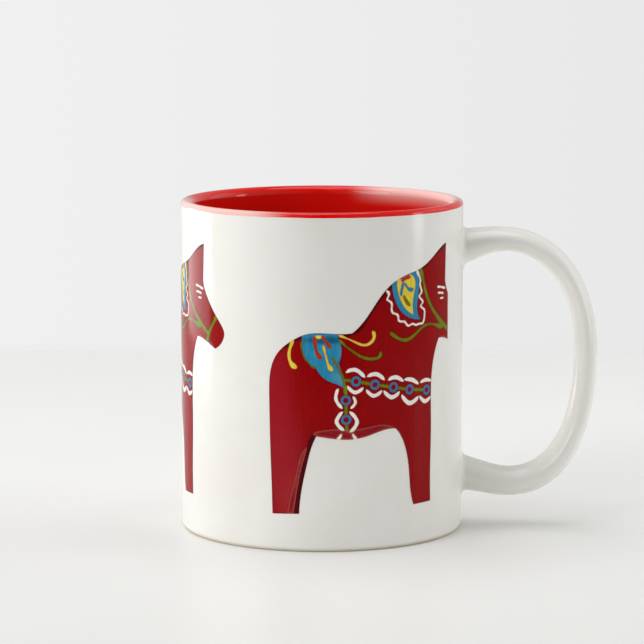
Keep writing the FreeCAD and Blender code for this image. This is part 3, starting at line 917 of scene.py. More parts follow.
@dataclass(frozen=True)
class ClayFinish:
    """Bare fired clay: matt, sandy and lightly specked.

    Attributes:
        name: the material's name.
        colour: its usual colour.
        pale: the colour of its sand.
        speck: the colour of its iron specks.
        roughness: its usual roughness.
        sand_depth: how far the sand stands proud, in millimetres.
        clouds: the values of soft noise at which a cloud without sand starts and is whole.
        cloud_strength: how much of the sand such a cloud hides.
        dulling: its least and greatest roughness, as shares of the usual one.
    """

    name: str
    colour: Colour
    pale: Colour
    speck: Colour
    roughness: float = 0.78
    sand_depth: float = 0.05
    clouds: tuple[float, float] = (0.3, 0.75)
    cloud_strength: float = 0.5
    dulling: tuple[float, float] = (0.9, 1.15)

    def material(self, effects: Effects) -> bpy.types.Material:
        """Builds the clay.

        Args:
            effects: the shared effects.

        Returns:
            The material.
        """
        made, graph, shader = new_material(self.name)
        specks = graph.group(effects.specks).outputs
        cloud = graph.group(effects.skin).outputs["Cloud"]
        body = graph.blend(graph.ramp(specks["Sand"], *USUAL_NOISE), self.colour, self.pale)
        drift = graph.ramp(cloud, *self.clouds, 0.0, self.cloud_strength)
        drifted = graph.blend(drift, body, self.colour)
        graph.feed(shader.inputs["Base Color"], graph.blend(specks["Mask"], drifted, self.speck))
        least, most = (self.roughness * share for share in self.dulling)
        graph.feed(shader.inputs["Roughness"], graph.ramp(specks["Sand"], *USUAL_NOISE, least, most))
        proud = graph.math("MULTIPLY", specks["Sand"], self.sand_depth)
        graph.feed(shader.inputs["Normal"], graph.bump(proud))
        return made


@dataclass(frozen=True)
class Touch:
    """A soft oval touch of another colour in the drawing, in millimetres.

    Attributes:
        along: the middle, along the wall from the saddle's plumb line.
        up: the middle, above the ground.
        half_width: half its width.
        half_height: half its height.
        lean: how far it is turned, in degrees, anticlockwise.
        colour: its colour.
        strength: how much of the colour shows at the middle.
    """

    along: float
    up: float
    half_width: float
    half_height: float
    lean: float
    colour: Colour
    strength: float = 1.0


@dataclass(frozen=True)
class InkFinish:
    """One printed colour, with the brushwork of the painting that it copies.

    Attributes:
        ink: which ink it is.
        colour: its full colour.
        shade: the darker colour of its streaks.
        light: the lighter colour of its mottle.
        rim: the colour along its edges.
        rim_width: how wide that edge is, in millimetres.
        rim_strength: how much of the rim's colour shows.
        streak: how fine the streaks are across and along the wall.
        mottle_strength: how much of the mottle shows.
        touches: soft touches of other colours.
        roughness: its usual roughness.
        specular: how strongly it mirrors.
        streaks: the values of the streaks' noise at which the full colour starts and is whole.
        mottles: the same for the mottle.
        breaks: the values of the mottle's noise at which a touch starts to gain and is whole.
        faintest: how much of a touch shows where it is most broken.
        dulling: its least and greatest roughness, as shares of the usual one.
    """

    ink: Ink
    colour: Colour
    shade: Colour
    light: Colour
    rim: Colour
    rim_width: float = 0.35
    rim_strength: float = 0.6
    streak: tuple[float, float] = (1.4, 0.16)
    mottle_strength: float = 0.35
    touches: tuple[Touch, ...] = ()
    roughness: float = 0.12
    specular: float = 0.075
    streaks: tuple[float, float] = (0.38, 0.72)
    mottles: tuple[float, float] = (0.5, 0.78)
    breaks: tuple[float, float] = (0.3, 0.65)
    faintest: float = 0.5
    dulling: tuple[float, float] = (0.8, 1.3)

    def material(self, effects: Effects) -> bpy.types.Material:
        """Builds the ink.

        Args:
            effects: the shared effects.

        Returns:
            The material.
        """
        made, graph, shader = new_material(f"{self.ink.value}_print")
        place = graph.group(effects.drawing).outputs["Place"]
        grain = graph.group(
            effects.grain,
            {"Place": place, "Streak Across": self.streak[0], "Streak Along": self.streak[1]},
        ).outputs
        streaked = graph.blend(graph.ramp(grain["Streak"], *self.streaks), self.shade, self.colour)
        mottle = graph.ramp(grain["Mottle"], *self.mottles, 0.0, self.mottle_strength)
        body = graph.blend(mottle, streaked, self.light)
        for touch in self.touches:
            mask = graph.group(effects.patch, {
                "Place": place,
                "Along": touch.along,
                "Up": touch.up,
                "Half Width": touch.half_width,
                "Half Height": touch.half_height,
                "Lean": -math.radians(touch.lean),
            }).outputs["Mask"]
            faint = self.faintest * touch.strength
            broken = graph.ramp(grain["Mottle"], *self.breaks, faint, touch.strength)
            body = graph.blend(graph.math("MULTIPLY", mask, broken), body, touch.colour)
        rim = graph.group(effects.rim, {"Place": place, "Width": self.rim_width}).outputs["Mask"]
        edge = graph.math("MULTIPLY", rim, self.rim_strength)
        graph.feed(shader.inputs["Base Color"], graph.blend(edge, body, self.rim))
        least, most = (self.roughness * share for share in self.dulling)
        graph.feed(shader.inputs["Roughness"], graph.ramp(grain["Mottle"], *USUAL_NOISE, least, most))
        skin = graph.group(effects.skin).outputs
        graph.feed(shader.inputs["Normal"], graph.bump(skin["Height"]))
        shader.inputs["Specular IOR Level"].default_value = self.specular
        return made


# ---- pieces ------------------------------------------------------------------------------------------
def settle(piece: bpy.types.Object, material: bpy.types.Material, slot: str, *nodes: str) -> None:
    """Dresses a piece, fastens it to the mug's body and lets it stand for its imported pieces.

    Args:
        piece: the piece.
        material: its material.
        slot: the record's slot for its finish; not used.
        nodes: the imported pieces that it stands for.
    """
    piece.data.materials.clear()
    piece.data.materials.append(material)
    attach(piece, BODY)
    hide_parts(*nodes)
    LOG.info("%s: %d faces, for %s", piece.name, len(piece.data.polygons), ", ".join(nodes))


@dataclass
class Crock:
    """The turned part of the mug: the clay shell and the glazes fired onto it.

    Attributes:
        sizes: the mug's sizes.
        materials: the ceramic materials.
        round_steps: how many stretches a round is made of.
        wall_steps: how many the clay's wall and the inside are made of.
        disc_steps: how many there are from an edge to the axis.
        glazed_steps: how many the outside of the wall's glaze is made of.
        hidden_steps: how many its hidden side is made of.
        edge_steps: how many each of its short edges is made of.
        foot_steps: how many its round over the foot is made of.
        lining_fade: how far above the lining's edge its straying dies away.
        glaze_fade: how far below the wall glaze's edge its straying dies away.
        lining_slack: how far inside the clay's radius the lining's points still stray.
        glaze_slack: how far inside it the wall glaze's points do.
        toe_drop: how far below the straight of the wall its glaze turns in to the foot.
        toe_inset: how far in from the wall that turn is.
    """

    sizes: MugSizes
    materials: dict[Finish, bpy.types.Material]
    round_steps: int = 10
    wall_steps: int = 24
    disc_steps: int = 6
    glazed_steps: int = 40
    hidden_steps: int = 12
    edge_steps: int = 3
    foot_steps: int = 4
    lining_fade: float = 0.6
    glaze_fade: float = 0.8
    lining_slack: float = 0.2
    glaze_slack: float = 0.1
    toe_drop: float = 0.35
    toe_inset: float = 0.03

    @property
    def straight_from(self) -> float:
        """The height at which the straight of the wall's glaze starts."""
        return self.sizes.bare_band + 3 * self.sizes.glaze

    def on_wall(self, places: np.ndarray, facing: np.ndarray) -> np.ndarray:
        """Which faces are on the straight outer side of the wall's glaze.

        Args:
            places: the faces' middles, in millimetres.
            facing: their normals.

        Returns:
            True for each face that is.
        """
        outside = np.hypot(places[:, 0], places[:, 1]) > self.sizes.outer - 0.1
        upright = (abs(facing[:, 2]) < 0.3) & (np.hypot(facing[:, 0], facing[:, 1]) > 0.9)
        return outside & upright & (places[:, 2] > self.straight_from)

    def lip(self, inset: float) -> Section:
        """The lip's two rounds from outside to inside.

        Args:
            inset: the depth below the glaze.

        Returns:
            The points.
        """
        s = self.sizes
        outer = arc((s.lip_crest, s.height - s.lip_outer_round), s.lip_outer_round - inset, 0, 90,
                    self.round_steps)
        inner = arc((s.lip_crest, s.height - s.lip_inner_round), s.lip_inner_round - inset, 90, 180,
                    self.round_steps)
        return outer + inner[1:]

    def inside(self, inset: float) -> Section:
        """The drinking side from under the lip down to the axis.

        Args:
            inset: the depth below the glaze.

        Returns:
            The points.
        """
        s = self.sizes
        corner = (s.bore - s.inner_corner, s.floor + s.inner_corner)
        top = (s.bore + inset, s.height - s.lip_inner_round)
        bend = arc(corner, s.inner_corner + inset, 0, -90, self.round_steps)
        height = s.floor - inset
        floor = leg((corner[0], height), (0.0, height), self.disc_steps)
        return stretch(top, bend[0], self.wall_steps) + bend + floor

    def clay_shell(self) -> bpy.types.Object:
        """The fired clay.

        Returns:
            The piece.
        """
        s = self.sizes
        ring_out = s.outer - s.glaze - s.foot_round
        ring_in = ring_out - s.foot_ring
        foot = arc((ring_out, s.foot_round), s.foot_round, 0, -90, self.round_steps)
        heel = arc((ring_in, s.foot_round), s.foot_round, -90, -180, self.round_steps)
        lip = self.lip(s.glaze)
        roof = (s.recess_wall, s.recess)
        section = self.inside(s.glaze)[::-1] + lip[::-1] + stretch(lip[0], foot[0], self.wall_steps)
        section += foot + heel + [roof] + leg(roof, (0.0, s.recess), self.disc_steps)
        piece = turned("fired_clay_shell", section, closed=False)
        settle(piece, self.materials[Finish.CLAY], Finish.CLAY.value, "mug_body")
        return piece

    def lining(self) -> bpy.types.Object:
        """The coloured glaze inside, over the lip and a little way down outside it.

        Returns:
            The piece.
        """
        s = self.sizes
        skin, clay = self.lip(0), self.lip(s.glaze)
        edge = [(s.outer, s.lip_foot), (s.outer - s.glaze, s.lip_foot)]
        section = self.inside(0)[::-1] + skin[::-1] + edge + clay + self.inside(s.glaze)
        piece = turned("red_lining_glaze", section, closed=False)
        outside = s.outer - s.glaze - self.lining_slack
        shift_edge(piece, s, outside, (s.lip_foot, s.lip_foot + self.lining_fade))
        settle(piece, self.materials[Finish.RED_GLAZE], Finish.RED_GLAZE.value, "lining_glaze")
        return piece

    def wall(self, root_plugs: Sequence[bpy.types.Object]) -> bpy.types.Object:
        """The white glaze outside, open where the handle's roots are.

        Args:
            root_plugs: closed shapes that fill the two openings.

        Returns:
            The piece.
        """
        s = self.sizes
        clay = s.outer - s.glaze
        rise = s.foot_round - s.bare_band
        start = -math.degrees(math.asin(rise / s.foot_round))
        foot = arc((clay - s.foot_round, s.foot_round), s.foot_round, start, 0, self.foot_steps)
        edge, below = (s.outer, s.lip_foot), (s.outer, s.lip_foot - self.glaze_fade)
        toe = (s.outer - self.toe_inset, self.straight_from - self.toe_drop)
        section = [edge] + leg(edge, below, self.edge_steps)
        section += leg(below, (s.outer, self.straight_from), self.glazed_steps)
        section += [toe] + stretch(toe, foot[0], self.edge_steps) + foot
        section += leg((clay, s.foot_round), (clay, s.lip_foot), self.hidden_steps)
        piece = turned("white_wall_glaze", section, closed=True)
        shift_edge(piece, s, clay - self.glaze_slack, (edge[1], below[1]))
        cut_away(piece, root_plugs)
        smooth(piece)
        aim_normals(piece, self.on_wall)
        settle(piece, self.materials[Finish.WHITE_GLAZE], Finish.WHITE_GLAZE.value, "wall_glaze")
        return piece

    def foot_well(self) -> bpy.types.Object:
        """The white glaze in the hollow under the mug.

        Returns:
            The piece.
        """
        s = self.sizes
        wall, roof = s.recess_wall, s.recess
        inner, under = wall - s.glaze, roof - s.glaze
        section = [(0.0, roof)] + leg((0.0, roof), (wall, roof), self.disc_steps)
        section += [(wall, s.foot_round), (inner, s.foot_round + s.glaze), (inner, under)]
        section += leg((inner, under), (0.0, under), self.disc_steps)
        piece = turned("white_foot_glaze", section, closed=False)
        settle(piece, self.materials[Finish.WHITE_GLAZE], Finish.WHITE_GLAZE.value, "foot_glaze")
        return piece


# The loop's middle line from the lower root to the upper one: x out from the wall, z up from the
# bottom of the loop, and the thickness there as a multiple of the grip's.
HANDLE_SPINE = (
    (-5.0, 7.9, 1.58),
    (0.0, 6.8, 1.5),
    (4.6, 5.8, 1.37),
    (13.4, 4.3, 1.26),
    (23.0, 6.7, 1.22),
    (30.6, 14.9, 1.1),
    (35.2, 29.1, 1.02),
    (36.2, 41.6, 1.0),
    (34.6, 54.9, 0.95),
    (29.7, 65.4, 0.99),
    (20.7, 72.8, 1.02),
    (11.5, 74.7, 1.06),
    (5.6, 74.0, 1.24),
    (0.0, 72.6, 1.5),
    (-5.0, 71.2, 1.58),
)


@dataclass
class Handle:
    """The loop of the handle: its clay, the slip that joins it to the wall, and its glaze.

    Attributes:
        sizes: the mug's sizes.
        materials: the ceramic materials.
        drawn_reach: how far out the middle line's drawing reaches, with the glaze.
        drawn_span: how high the drawing is, with the glaze.
        thickness: the grip's thickness.
        width: the grip's width.
        root_fillet: the fillet between the glazes of the loop and the wall.
        around: how many points a ring has.
        along: how many rings the loop has between its fillets.
        cut_rings: how many more it has where it has no fillets.
        fillet_steps: how many stretches a fillet is made of.
        root_share: the share of the middle line within which a root leaves the wall.
        halvings: how often the search for where it leaves is halved.
        plug_lap: how far the wall's glaze laps under the handle's.
        plug_depth: how far a plug stands in and out of the wall.
    """

    sizes: MugSizes
    materials: dict[Finish, bpy.types.Material]
    drawn_reach: float = 39.6
    drawn_span: float = 78.2
    thickness: float = 6.7
    width: float = 12.6
    root_fillet: float = 1.6
    around: int = 96
    along: int = 120
    fillet_steps: int = 10
    root_share: float = 0.28
    halvings: int = 40
    plug_lap: float = 0.15
    plug_depth: float = 1.5
    cut_rings: int = 12
    spine: Callable[[np.ndarray], np.ndarray] = field(init=False)

    def __post_init__(self) -> None:
        """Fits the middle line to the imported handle."""
        bottom, top = low("handle_glaze"), high("handle_glaze")
        reach = (top.x - self.sizes.outer) / self.drawn_reach
        span = (top.z - bottom.z) / self.drawn_span
        knots = []
        for out, up, share in HANDLE_SPINE:
            x = self.sizes.outer + out * (reach if out > 0 else 1)
            knots.append((x, share * self.thickness, bottom.z + up * span))
        self.spine = smooth_curve(np.array(knots))

    @property
    def ring(self) -> np.ndarray:
        """The angles of a ring's points round the oval, in radians."""
        return np.linspace(0, 2 * math.pi, self.around, endpoint=False)

    def skin(self, share: np.ndarray, angle: np.ndarray, inset: float) -> tuple[np.ndarray, np.ndarray]:
        """Points on the loop's oval skin, and the way out from its middle there.

        Args:
            share: how far along the middle line each point is, from 0 to 1.
            angle: each point's angle round the oval, in radians.
            inset: the depth below the glaze.

        Returns:
            The points and the directions, each as an array with a last axis of three.
        """
        small = 1e-4
        place = self.spine(share)
        ahead = self.spine(share + small) - self.spine(share - small)
        ahead[..., 1] = 0
        ahead /= np.linalg.norm(ahead, axis=-1, keepdims=True)
        across = np.stack([-ahead[..., 2], np.zeros_like(share), ahead[..., 0]], -1)
        half_thick = (place[..., 1] / 2 - inset)[..., None]
        half_wide = ((self.width + (place[..., 1] - self.thickness) / 2) / 2 - inset)[..., None]
        cosine, sine = np.cos(angle)[..., None], np.sin(angle)[..., None]
        side = np.array([0.0, 1.0, 0.0])
        centre = np.stack([place[..., 0], np.zeros_like(share), place[..., 2]], -1)
        points = centre + across * half_thick * cosine + side * half_wide * sine
        out = across * cosine / half_thick + side * sine / half_wide
        return points, out / np.linalg.norm(out, axis=-1, keepdims=True)

    def share_at(self, gap: np.ndarray, inset: float, upper: bool) -> np.ndarray:
        """How far along the middle line the skin is when it leaves the wall by a gap.

        Args:
            gap: the gap at each point of each ring, or one for each ring.
            inset: the depth below the glaze.
            upper: True for the upper root.

        Returns:
            The share for each point of each ring.
        """
        wall = self.sizes.outer - inset
        shape = np.broadcast(gap, self.ring[None, :]).shape
        angle = np.broadcast_to(self.ring, shape)
        inside = np.full(shape, 1.0 if upper else 0.0)
        outside = np.full(shape, 1 - self.root_share if upper else self.root_share)
        for _ in range(self.halvings):
            middle = (inside + outside) / 2
            points = self.skin(middle, angle, inset)[0]
            beyond = np.hypot(points[..., 0], points[..., 1]) - wall > gap
            outside = np.where(beyond, middle, outside)
            inside = np.where(beyond, inside, middle)
        return (inside + outside) / 2

    def flare(self, inset: float, upper: bool) -> np.ndarray:
        """Rings of a root's fillet, from the wall out to where it meets the loop.

        Args:
            inset: the depth below the glaze.
            upper: True for the upper root.

        Returns:
            The rings, as an array of ring, point and coordinate.
        """
        fillet = self.root_fillet + inset
        wall = self.sizes.outer - inset
        bend = np.radians(np.linspace(90, 0, self.fillet_steps + 1))[:, None]
        gap = fillet * (1 - np.sin(bend)) + 0 * self.ring
        spread = fillet * (1 - np.cos(bend)) + 0 * self.ring
        shares = self.share_at(gap, inset, upper)
        points, out = self.skin(shares, np.broadcast_to(self.ring, shares.shape), inset)
        radial = points * [1, 1, 0]
        radial /= np.linalg.norm(radial, axis=-1, keepdims=True)
        out = out - radial * (out * radial).sum(-1, keepdims=True)
        out /= np.linalg.norm(out, axis=-1, keepdims=True)
        points = points + out * spread[..., None]
        scale = (wall + gap) / np.hypot(points[..., 0], points[..., 1])
        points[..., 0] *= scale
        points[..., 1] *= scale
        return points

    def loop(self, inset: float, gap: float, steps: int) -> np.ndarray:
        """Rings of the loop between its roots.

        Args:
            inset: the depth below the glaze.
            gap: how far off the wall the first ring and the last one are.
            steps: how many rings there are.

        Returns:
            The rings, as an array of ring, point and coordinate.
        """
        start = self.share_at(np.array([[gap]]), inset, upper=False)
        end = self.share_at(np.array([[gap]]), inset, upper=True)
        shares = start + (end - start) * np.linspace(0, 1, steps)[:, None]
        return self.skin(shares, np.broadcast_to(self.ring, shares.shape), inset)[0]

    def glazed_skin(self, inset: float) -> np.ndarray:
        """Rings of the whole handle with its flared roots, from the lower root to the upper.

        Args:
            inset: the depth below the glaze.

        Returns:
            The rings, as an array of ring, point and coordinate.
        """
        middle = self.loop(inset, self.root_fillet + inset, self.along)[1:-1]
        return np.concatenate([self.flare(inset, False), middle, self.flare(inset, True)[::-1]])

    def root_plug(self, upper: bool) -> bpy.types.Object:
        """A closed plug that fills the wall glaze's opening at a root.

        Args:
            upper: True for the upper root.

        Returns:
            The plug.
        """
        foot = self.flare(0.0, upper)[0]
        inward = (foot.mean(0) - foot) * [0, 1, 1]
        foot = foot + inward / np.linalg.norm(inward, axis=-1, keepdims=True) * self.plug_lap
        rings = []
        for radius in (self.sizes.outer - self.plug_depth, self.sizes.outer + self.plug_depth):
            ring = foot.copy()
            ring[:, :2] *= (radius / np.hypot(ring[:, 0], ring[:, 1]))[:, None]
            rings.append(ring)
        return rounded_tube(np.array(rings), "root_plug", loop=False)

    def clay_loop(self) -> bpy.types.Object:
        """The clay, cut off where it meets the clay wall.

        Returns:
            The piece.
        """
        rings = self.loop(self.sizes.glaze, 0.0, self.along + self.cut_rings)
        piece = rounded_tube(rings, "clay_handle_loop", loop=False)
        settle(piece, self.materials[Finish.CLAY], Finish.CLAY.value, "handle")
        return piece

    def slip_joint(self, upper: bool) -> bpy.types.Object:
        """The fillet of slip round a root, between the clay loop and the glaze.

        Args:
            upper: True for the upper root.

        Returns:
            The piece.
        """
        glaze = self.sizes.glaze
        outside = self.flare(glaze, upper)
        gaps = np.linspace(self.root_fillet + glaze, 0, self.fillet_steps + 1)[1:, None] + 0 * self.ring
        shares = self.share_at(gaps, glaze, upper)
        inside = self.skin(shares, np.broadcast_to(self.ring, shares.shape), glaze)[0]
        name = "upper_slip_joint" if upper else "lower_slip_joint"
        piece = rounded_tube(np.concatenate([outside, inside]), name, loop=True)
        node = "upper_handle_joint" if upper else "lower_handle_joint"
        settle(piece, self.materials[Finish.CLAY], Finish.CLAY.value, node)
        return piece

    def glaze_coat(self) -> bpy.types.Object:
        """The white glaze over the loop, flared onto the wall.

        Returns:
            The piece.
        """
        outside, inside = self.glazed_skin(0.0), self.glazed_skin(self.sizes.glaze)
        piece = rounded_tube(np.concatenate([outside, inside[::-1]]), "white_handle_glaze", loop=True)
        settle(piece, self.materials[Finish.WHITE_GLAZE], Finish.WHITE_GLAZE.value, "handle_glaze")
        return piece


def thinned(points: np.ndarray, apart: float) -> np.ndarray:
    """The points without those that lie too near an earlier one.

    Args:
        points: flat points.
        apart: how near is too near.

    Returns:
        The points that are kept.
    """
    kept: list[np.ndarray] = []
    cells: dict[tuple[int, int], list[np.ndarray]] = {}
    for point in points:
        column, line = int(point[0] // apart), int(point[1] // apart)
        near = [p for i in (-1, 0, 1) for j in (-1, 0, 1) for p in cells.get((column + i, line + j), [])]
        if all((p[0] - point[0]) ** 2 + (p[1] - point[1]) ** 2 >= apart**2 for p in near):
            cells.setdefault((column, line), []).append(point)
            kept.append(point)
    return np.array(kept).reshape(-1, 2)


class Room:
    """Where a flat patch of ink is, and how far a point is from its edge."""

    sample_step = 0.06
    slack = 0.02

    def __init__(self, points: np.ndarray, corners: np.ndarray, border: np.ndarray) -> None:
        """Prepares the search.

        Args:
            points: the patch's flat points.
            corners: its triangles.
            border: its directed border edges.
        """
        flat = [Vector((x, z, 0.0)) for x, z in points.tolist()]
        self.surface = BVHTree.FromPolygons(flat, corners.tolist())
        samples = []
        for start, end in zip(points[border[:, 0]], points[border[:, 1]]):
            count = max(1, math.ceil(float(np.linalg.norm(end - start)) / self.sample_step))
            samples += [start + (end - start) * i / count for i in range(count)]
        self.edge = kdtree.KDTree(len(samples))
        for i, sample in enumerate(samples):
            self.edge.insert((sample[0], sample[1], 0.0), i)
        self.edge.balance()

    def reach(self, point: np.ndarray) -> float:
        """How far a point is from the patch, which is 0 inside it."""
        found = self.surface.find_nearest(Vector((point[0], point[1], 0.0)))
        return found[3] if found[3] is not None else math.inf

    def distance(self, point: np.ndarray) -> float:
        """How far a point is from the patch's edge."""
        return self.edge.find((point[0], point[1], 0.0))[2]

    def deep(self, points: np.ndarray, depth: float) -> np.ndarray:
        """The points that are on the patch and deeper in from its edge than a depth."""
        keep = [self.reach(p) < self.slack and self.distance(p) > depth for p in points]
        return points[np.array(keep, bool)]


@dataclass
class Film:
    """One ink of one horse, as a thin film on the wall.

    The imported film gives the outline. The film is meshed again, with rows of points that follow its
    edge, and each point keeps its distance from the edge.

    Attributes:
        sizes: the mug's sizes.
        horse: the horse.
        ink: the ink.
        thickness: the last ink's thickness.
        thinnest: the first ink's thickness.
        grow: how far the film grows past its packed edge.
        sink: how far it goes into the wall's glaze.
        edge_step: the longest stretch of its edge.
        rows: how deep in from the edge each row of points is.
        row_keep: how far a row's point keeps from every edge, as a share of the row's depth.
        row_gap: how near two points of a row may be, as shares of edge_step and of its depth.
        grid: how far apart the points are inside the rows.
        grid_rise: how far apart the grid's lines are, as a share of that.
        grid_keep: how deep in the grid starts, as a multiple of the last row's depth.
        deepest: the greatest distance from the edge that a point keeps.
    """

    sizes: MugSizes
    horse: Horse
    ink: Ink
    thickness: float = 0.06
    thinnest: float = 0.044
    grow: float = 0.03
    sink: float = 0.012
    edge_step: float = 0.45
    rows: tuple[float, ...] = (0.17, 0.4, 0.8)
    row_keep: float = 0.93
    row_gap: tuple[float, float] = (0.55, 0.3)
    grid: float = 2.2
    grid_rise: float = 0.866
    grid_keep: float = 1.5
    deepest: float = 2.0

    @property
    def node(self) -> str:
        """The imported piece's name."""
        return f"{self.horse.value}_{self.ink.value}"

    @property
    def lift(self) -> float:
        """How far this ink stands off the wall: each ink lies a hair above the one before."""
        order = list(Ink).index(self.ink)
        return self.thinnest + (self.thickness - self.thinnest) * order / (len(Ink) - 1)

    def flat(self) -> tuple[np.ndarray, np.ndarray]:
        """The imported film's outer face, rolled out flat.

        Returns:
            Points as distance along the wall from opposite the handle and height, and triangles.
        """
        mesh = frame["nodes"][self.node].data
        mesh.calc_loop_triangles()
        points = read(mesh.vertices, "co", 3).astype(float) / MM
        corners = read(mesh.loop_triangles, "vertices", 3, np.int32)
        radius = np.hypot(points[:, 0], points[:, 1])
        middle = (radius.min() + radius.max()) / 2
        corners = corners[(radius[corners] > middle).all(1)]
        along = self.sizes.outer * np.arctan2(-points[:, 1], -points[:, 0])
        rolled = np.stack([along, points[:, 2]], 1)
        _, first, same = np.unique(np.round(rolled, 4), axis=0, return_index=True, return_inverse=True)
        corners = same.reshape(-1)[corners]
        corners = corners[(corners != np.roll(corners, 1, 1)).all(1)]
        return rolled[first], corners

    @staticmethod
    def border(corners: np.ndarray) -> np.ndarray:
        """The directed edges that only one triangle has.

        Args:
            corners: the triangles.

        Returns:
            A row for each edge.
        """
        edges = np.concatenate([corners[:, [0, 1]], corners[:, [1, 2]], corners[:, [2, 0]]])
        have = {tuple(edge) for edge in edges.tolist()}
        return np.array([edge for edge in edges.tolist() if (edge[1], edge[0]) not in have])

    def outline(self, points: np.ndarray, border: np.ndarray) -> tuple[np.ndarray, np.ndarray]:
        """The border with its long edges divided, grown a hair so that inks overlap at their edges.

        Args:
            points: the flat points.
            border: the border's directed edges.

        Returns:
            The outline's points and its edges.
        """
        along = points[border[:, 1]] - points[border[:, 0]]
        out = np.stack([along[:, 1], -along[:, 0]], 1)
        out /= np.maximum(np.linalg.norm(out, axis=1, keepdims=True), TINY)
        lean = np.zeros_like(points)
        np.add.at(lean, border[:, 0], out)
        np.add.at(lean, border[:, 1], out)
        length = np.linalg.norm(lean, axis=1, keepdims=True)
        least_length = 0.7
        grown = points + lean / np.maximum(length, least_length) * self.grow
        index = {vertex: i for i, vertex in enumerate(np.unique(border).tolist())}
        places = [grown[vertex] for vertex in index]
        edges = []
        for start, end in border.tolist():
            pieces = max(1, math.ceil(np.linalg.norm(grown[end] - grown[start]) / self.edge_step))
            previous = index[start]
            for step in range(1, pieces):
                places.append(grown[start] + (grown[end] - grown[start]) * step / pieces)
                edges.append((previous, len(places) - 1))
                previous = len(places) - 1
            edges.append((previous, index[end]))
        return np.array(places), np.array(edges)

    def inner_points(self, places: np.ndarray, edges: np.ndarray, room: Room) -> np.ndarray:
        """Points inside the outline: rows that follow the edge, and a wider grid between them.

        Args:
            places: the outline's points.
            edges: its edges.
            room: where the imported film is.

        Returns:
            The points.
        """
        middles = (places[edges[:, 0]] + places[edges[:, 1]]) / 2
        along = places[edges[:, 1]] - places[edges[:, 0]]
        length = np.linalg.norm(along, axis=1, keepdims=True)
        inward = np.stack([-along[:, 1], along[:, 0]], 1) / np.maximum(length, TINY)
        found: list[np.ndarray] = []
        for depth in self.rows:
            row = room.deep(middles + inward * (depth + self.grow), depth * self.row_keep)
            found.append(thinned(row, self.row_gap[0] * self.edge_step + self.row_gap[1] * depth))
        (left, bottom), (right, top) = places.min(0), places.max(0)
        columns = np.arange(left, right, self.grid)
        lines = np.arange(bottom, top, self.grid * self.grid_rise)
        offsets = np.arange(len(lines)) % 2 * self.grid / 2
        net = np.array([(x + shift, z) for z, shift in zip(lines, offsets) for x in columns])
        if len(net):
            found.append(room.deep(net, self.rows[-1] * self.grid_keep))
        return np.concatenate([f for f in found if len(f)] or [np.zeros((0, 2))])

    def build(self, material: bpy.types.Material) -> bpy.types.Object:
        """Meshes the film and dresses it.

        Args:
            material: the ink's material.

        Returns:
            The film.
        """
        points, corners = self.flat()
        border = self.border(corners)
        room = Room(points, corners, border)
        places, edges = self.outline(points, border)
        places = np.concatenate([places, self.inner_points(places, edges, room)])
        mesh2d = geometry.delaunay_2d_cdt([Vector(p) for p in places], edges.tolist(), [], 0, 1e-5)
        flat = np.array([tuple(v) for v in mesh2d[0]])
        faces = np.array([face for face in mesh2d[2] if len(face) == 3])
        middles = flat[faces].mean(1)
        inside = np.array([room.reach(p) < self.grow * 0.98 for p in middles])
        faces = faces[inside]
        used = np.unique(faces)
        fresh = np.full(len(flat), -1)
        fresh[used] = np.arange(len(used))
        return self.solid(flat[used], fresh[faces], room, material)

    def solid(
        self, flat: np.ndarray, faces: np.ndarray, room: Room, material: bpy.types.Material
    ) -> bpy.types.Object:
        """Closes the flat mesh into a film round the wall.

        Args:
            flat: the flat points.
            faces: the triangles.
            room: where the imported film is.
            material: the ink's material.

        Returns:
            The film.
        """
        turn = flat[:, 0] / self.sizes.outer
        layers = []
        for radius in (self.sizes.outer + self.lift, self.sizes.outer - self.sink):
            layers.append(np.stack([-radius * np.cos(turn), -radius * np.sin(turn), flat[:, 1]], 1))
        count = len(flat)
        border = self.border(faces)
        sides = [(a, a + count, b + count, b) for a, b in border.tolist()]
        under = (faces[:, ::-1] + count).tolist()
        mesh = bpy.data.meshes.new(self.node)
        mesh.from_pydata((np.concatenate(layers) * MM).tolist(), [], faces.tolist() + under + sides)
        film = bpy.data.objects.new(f"{self.node}_print", mesh)
        bpy.context.scene.collection.objects.link(film)
        smooth(film, 40.0)
        aim_normals(film, lambda centres, facing: np.arange(len(centres)) < len(faces))
        depth = np.array([min(room.distance(p), self.deepest) for p in flat])
        layer = mesh.attributes.new(EDGE_ROOM, "FLOAT", "POINT")
        layer.data.foreach_set("value", np.concatenate([depth, depth]).astype(np.float32))
        settle(film, material, self.ink.slot, self.node)
        return film


# ---- stage -------------------------------------------------------------------------------------------
@dataclass(frozen=True)
class Lamp:
    """A flat soft light, in millimetres.

    Attributes:
        name: its name.
        place: where its middle is.
        target: what it faces.
        size: its width and height.
        power: its power in watts.
        colour: its colour.
    """

    name: str
    place: tuple[float, float, float]
    target: tuple[float, float, float]
    size: tuple[float, float]
    power: float
    colour: tuple[float, float, float] = (1.0, 1.0, 1.0)

    def hang(self) -> bpy.types.Object:
        """Puts the light in the scene, unseen by the camera.

        Returns:
            The light.
        """
        data = bpy.data.lights.new(self.name, "AREA")
        data.shape = "RECTANGLE"
        data.size, data.size_y = (side * MM for side in self.size)
        data.energy = self.power
        data.color = self.colour
        lamp = bpy.data.objects.new(self.name, data)
        lamp.location = Vector(self.place) * MM
        way = Vector(self.target) - Vector(self.place)
        lamp.rotation_euler = way.to_track_quat("-Z", "Y").to_euler()
        lamp.visible_camera = False
        bpy.context.scene.collection.objects.link(lamp)
        return lamp


@dataclass(frozen=True)
class Glow:
    """How bright the room is from each side, as the mug sees it.

    Attributes:
        left: how bright it is from the left.
        right: from the right, where the handle is.
        behind: from behind the mug.
        colour: its colour.
    """

    left: float
    right: float
    behind: float
    colour: Colour


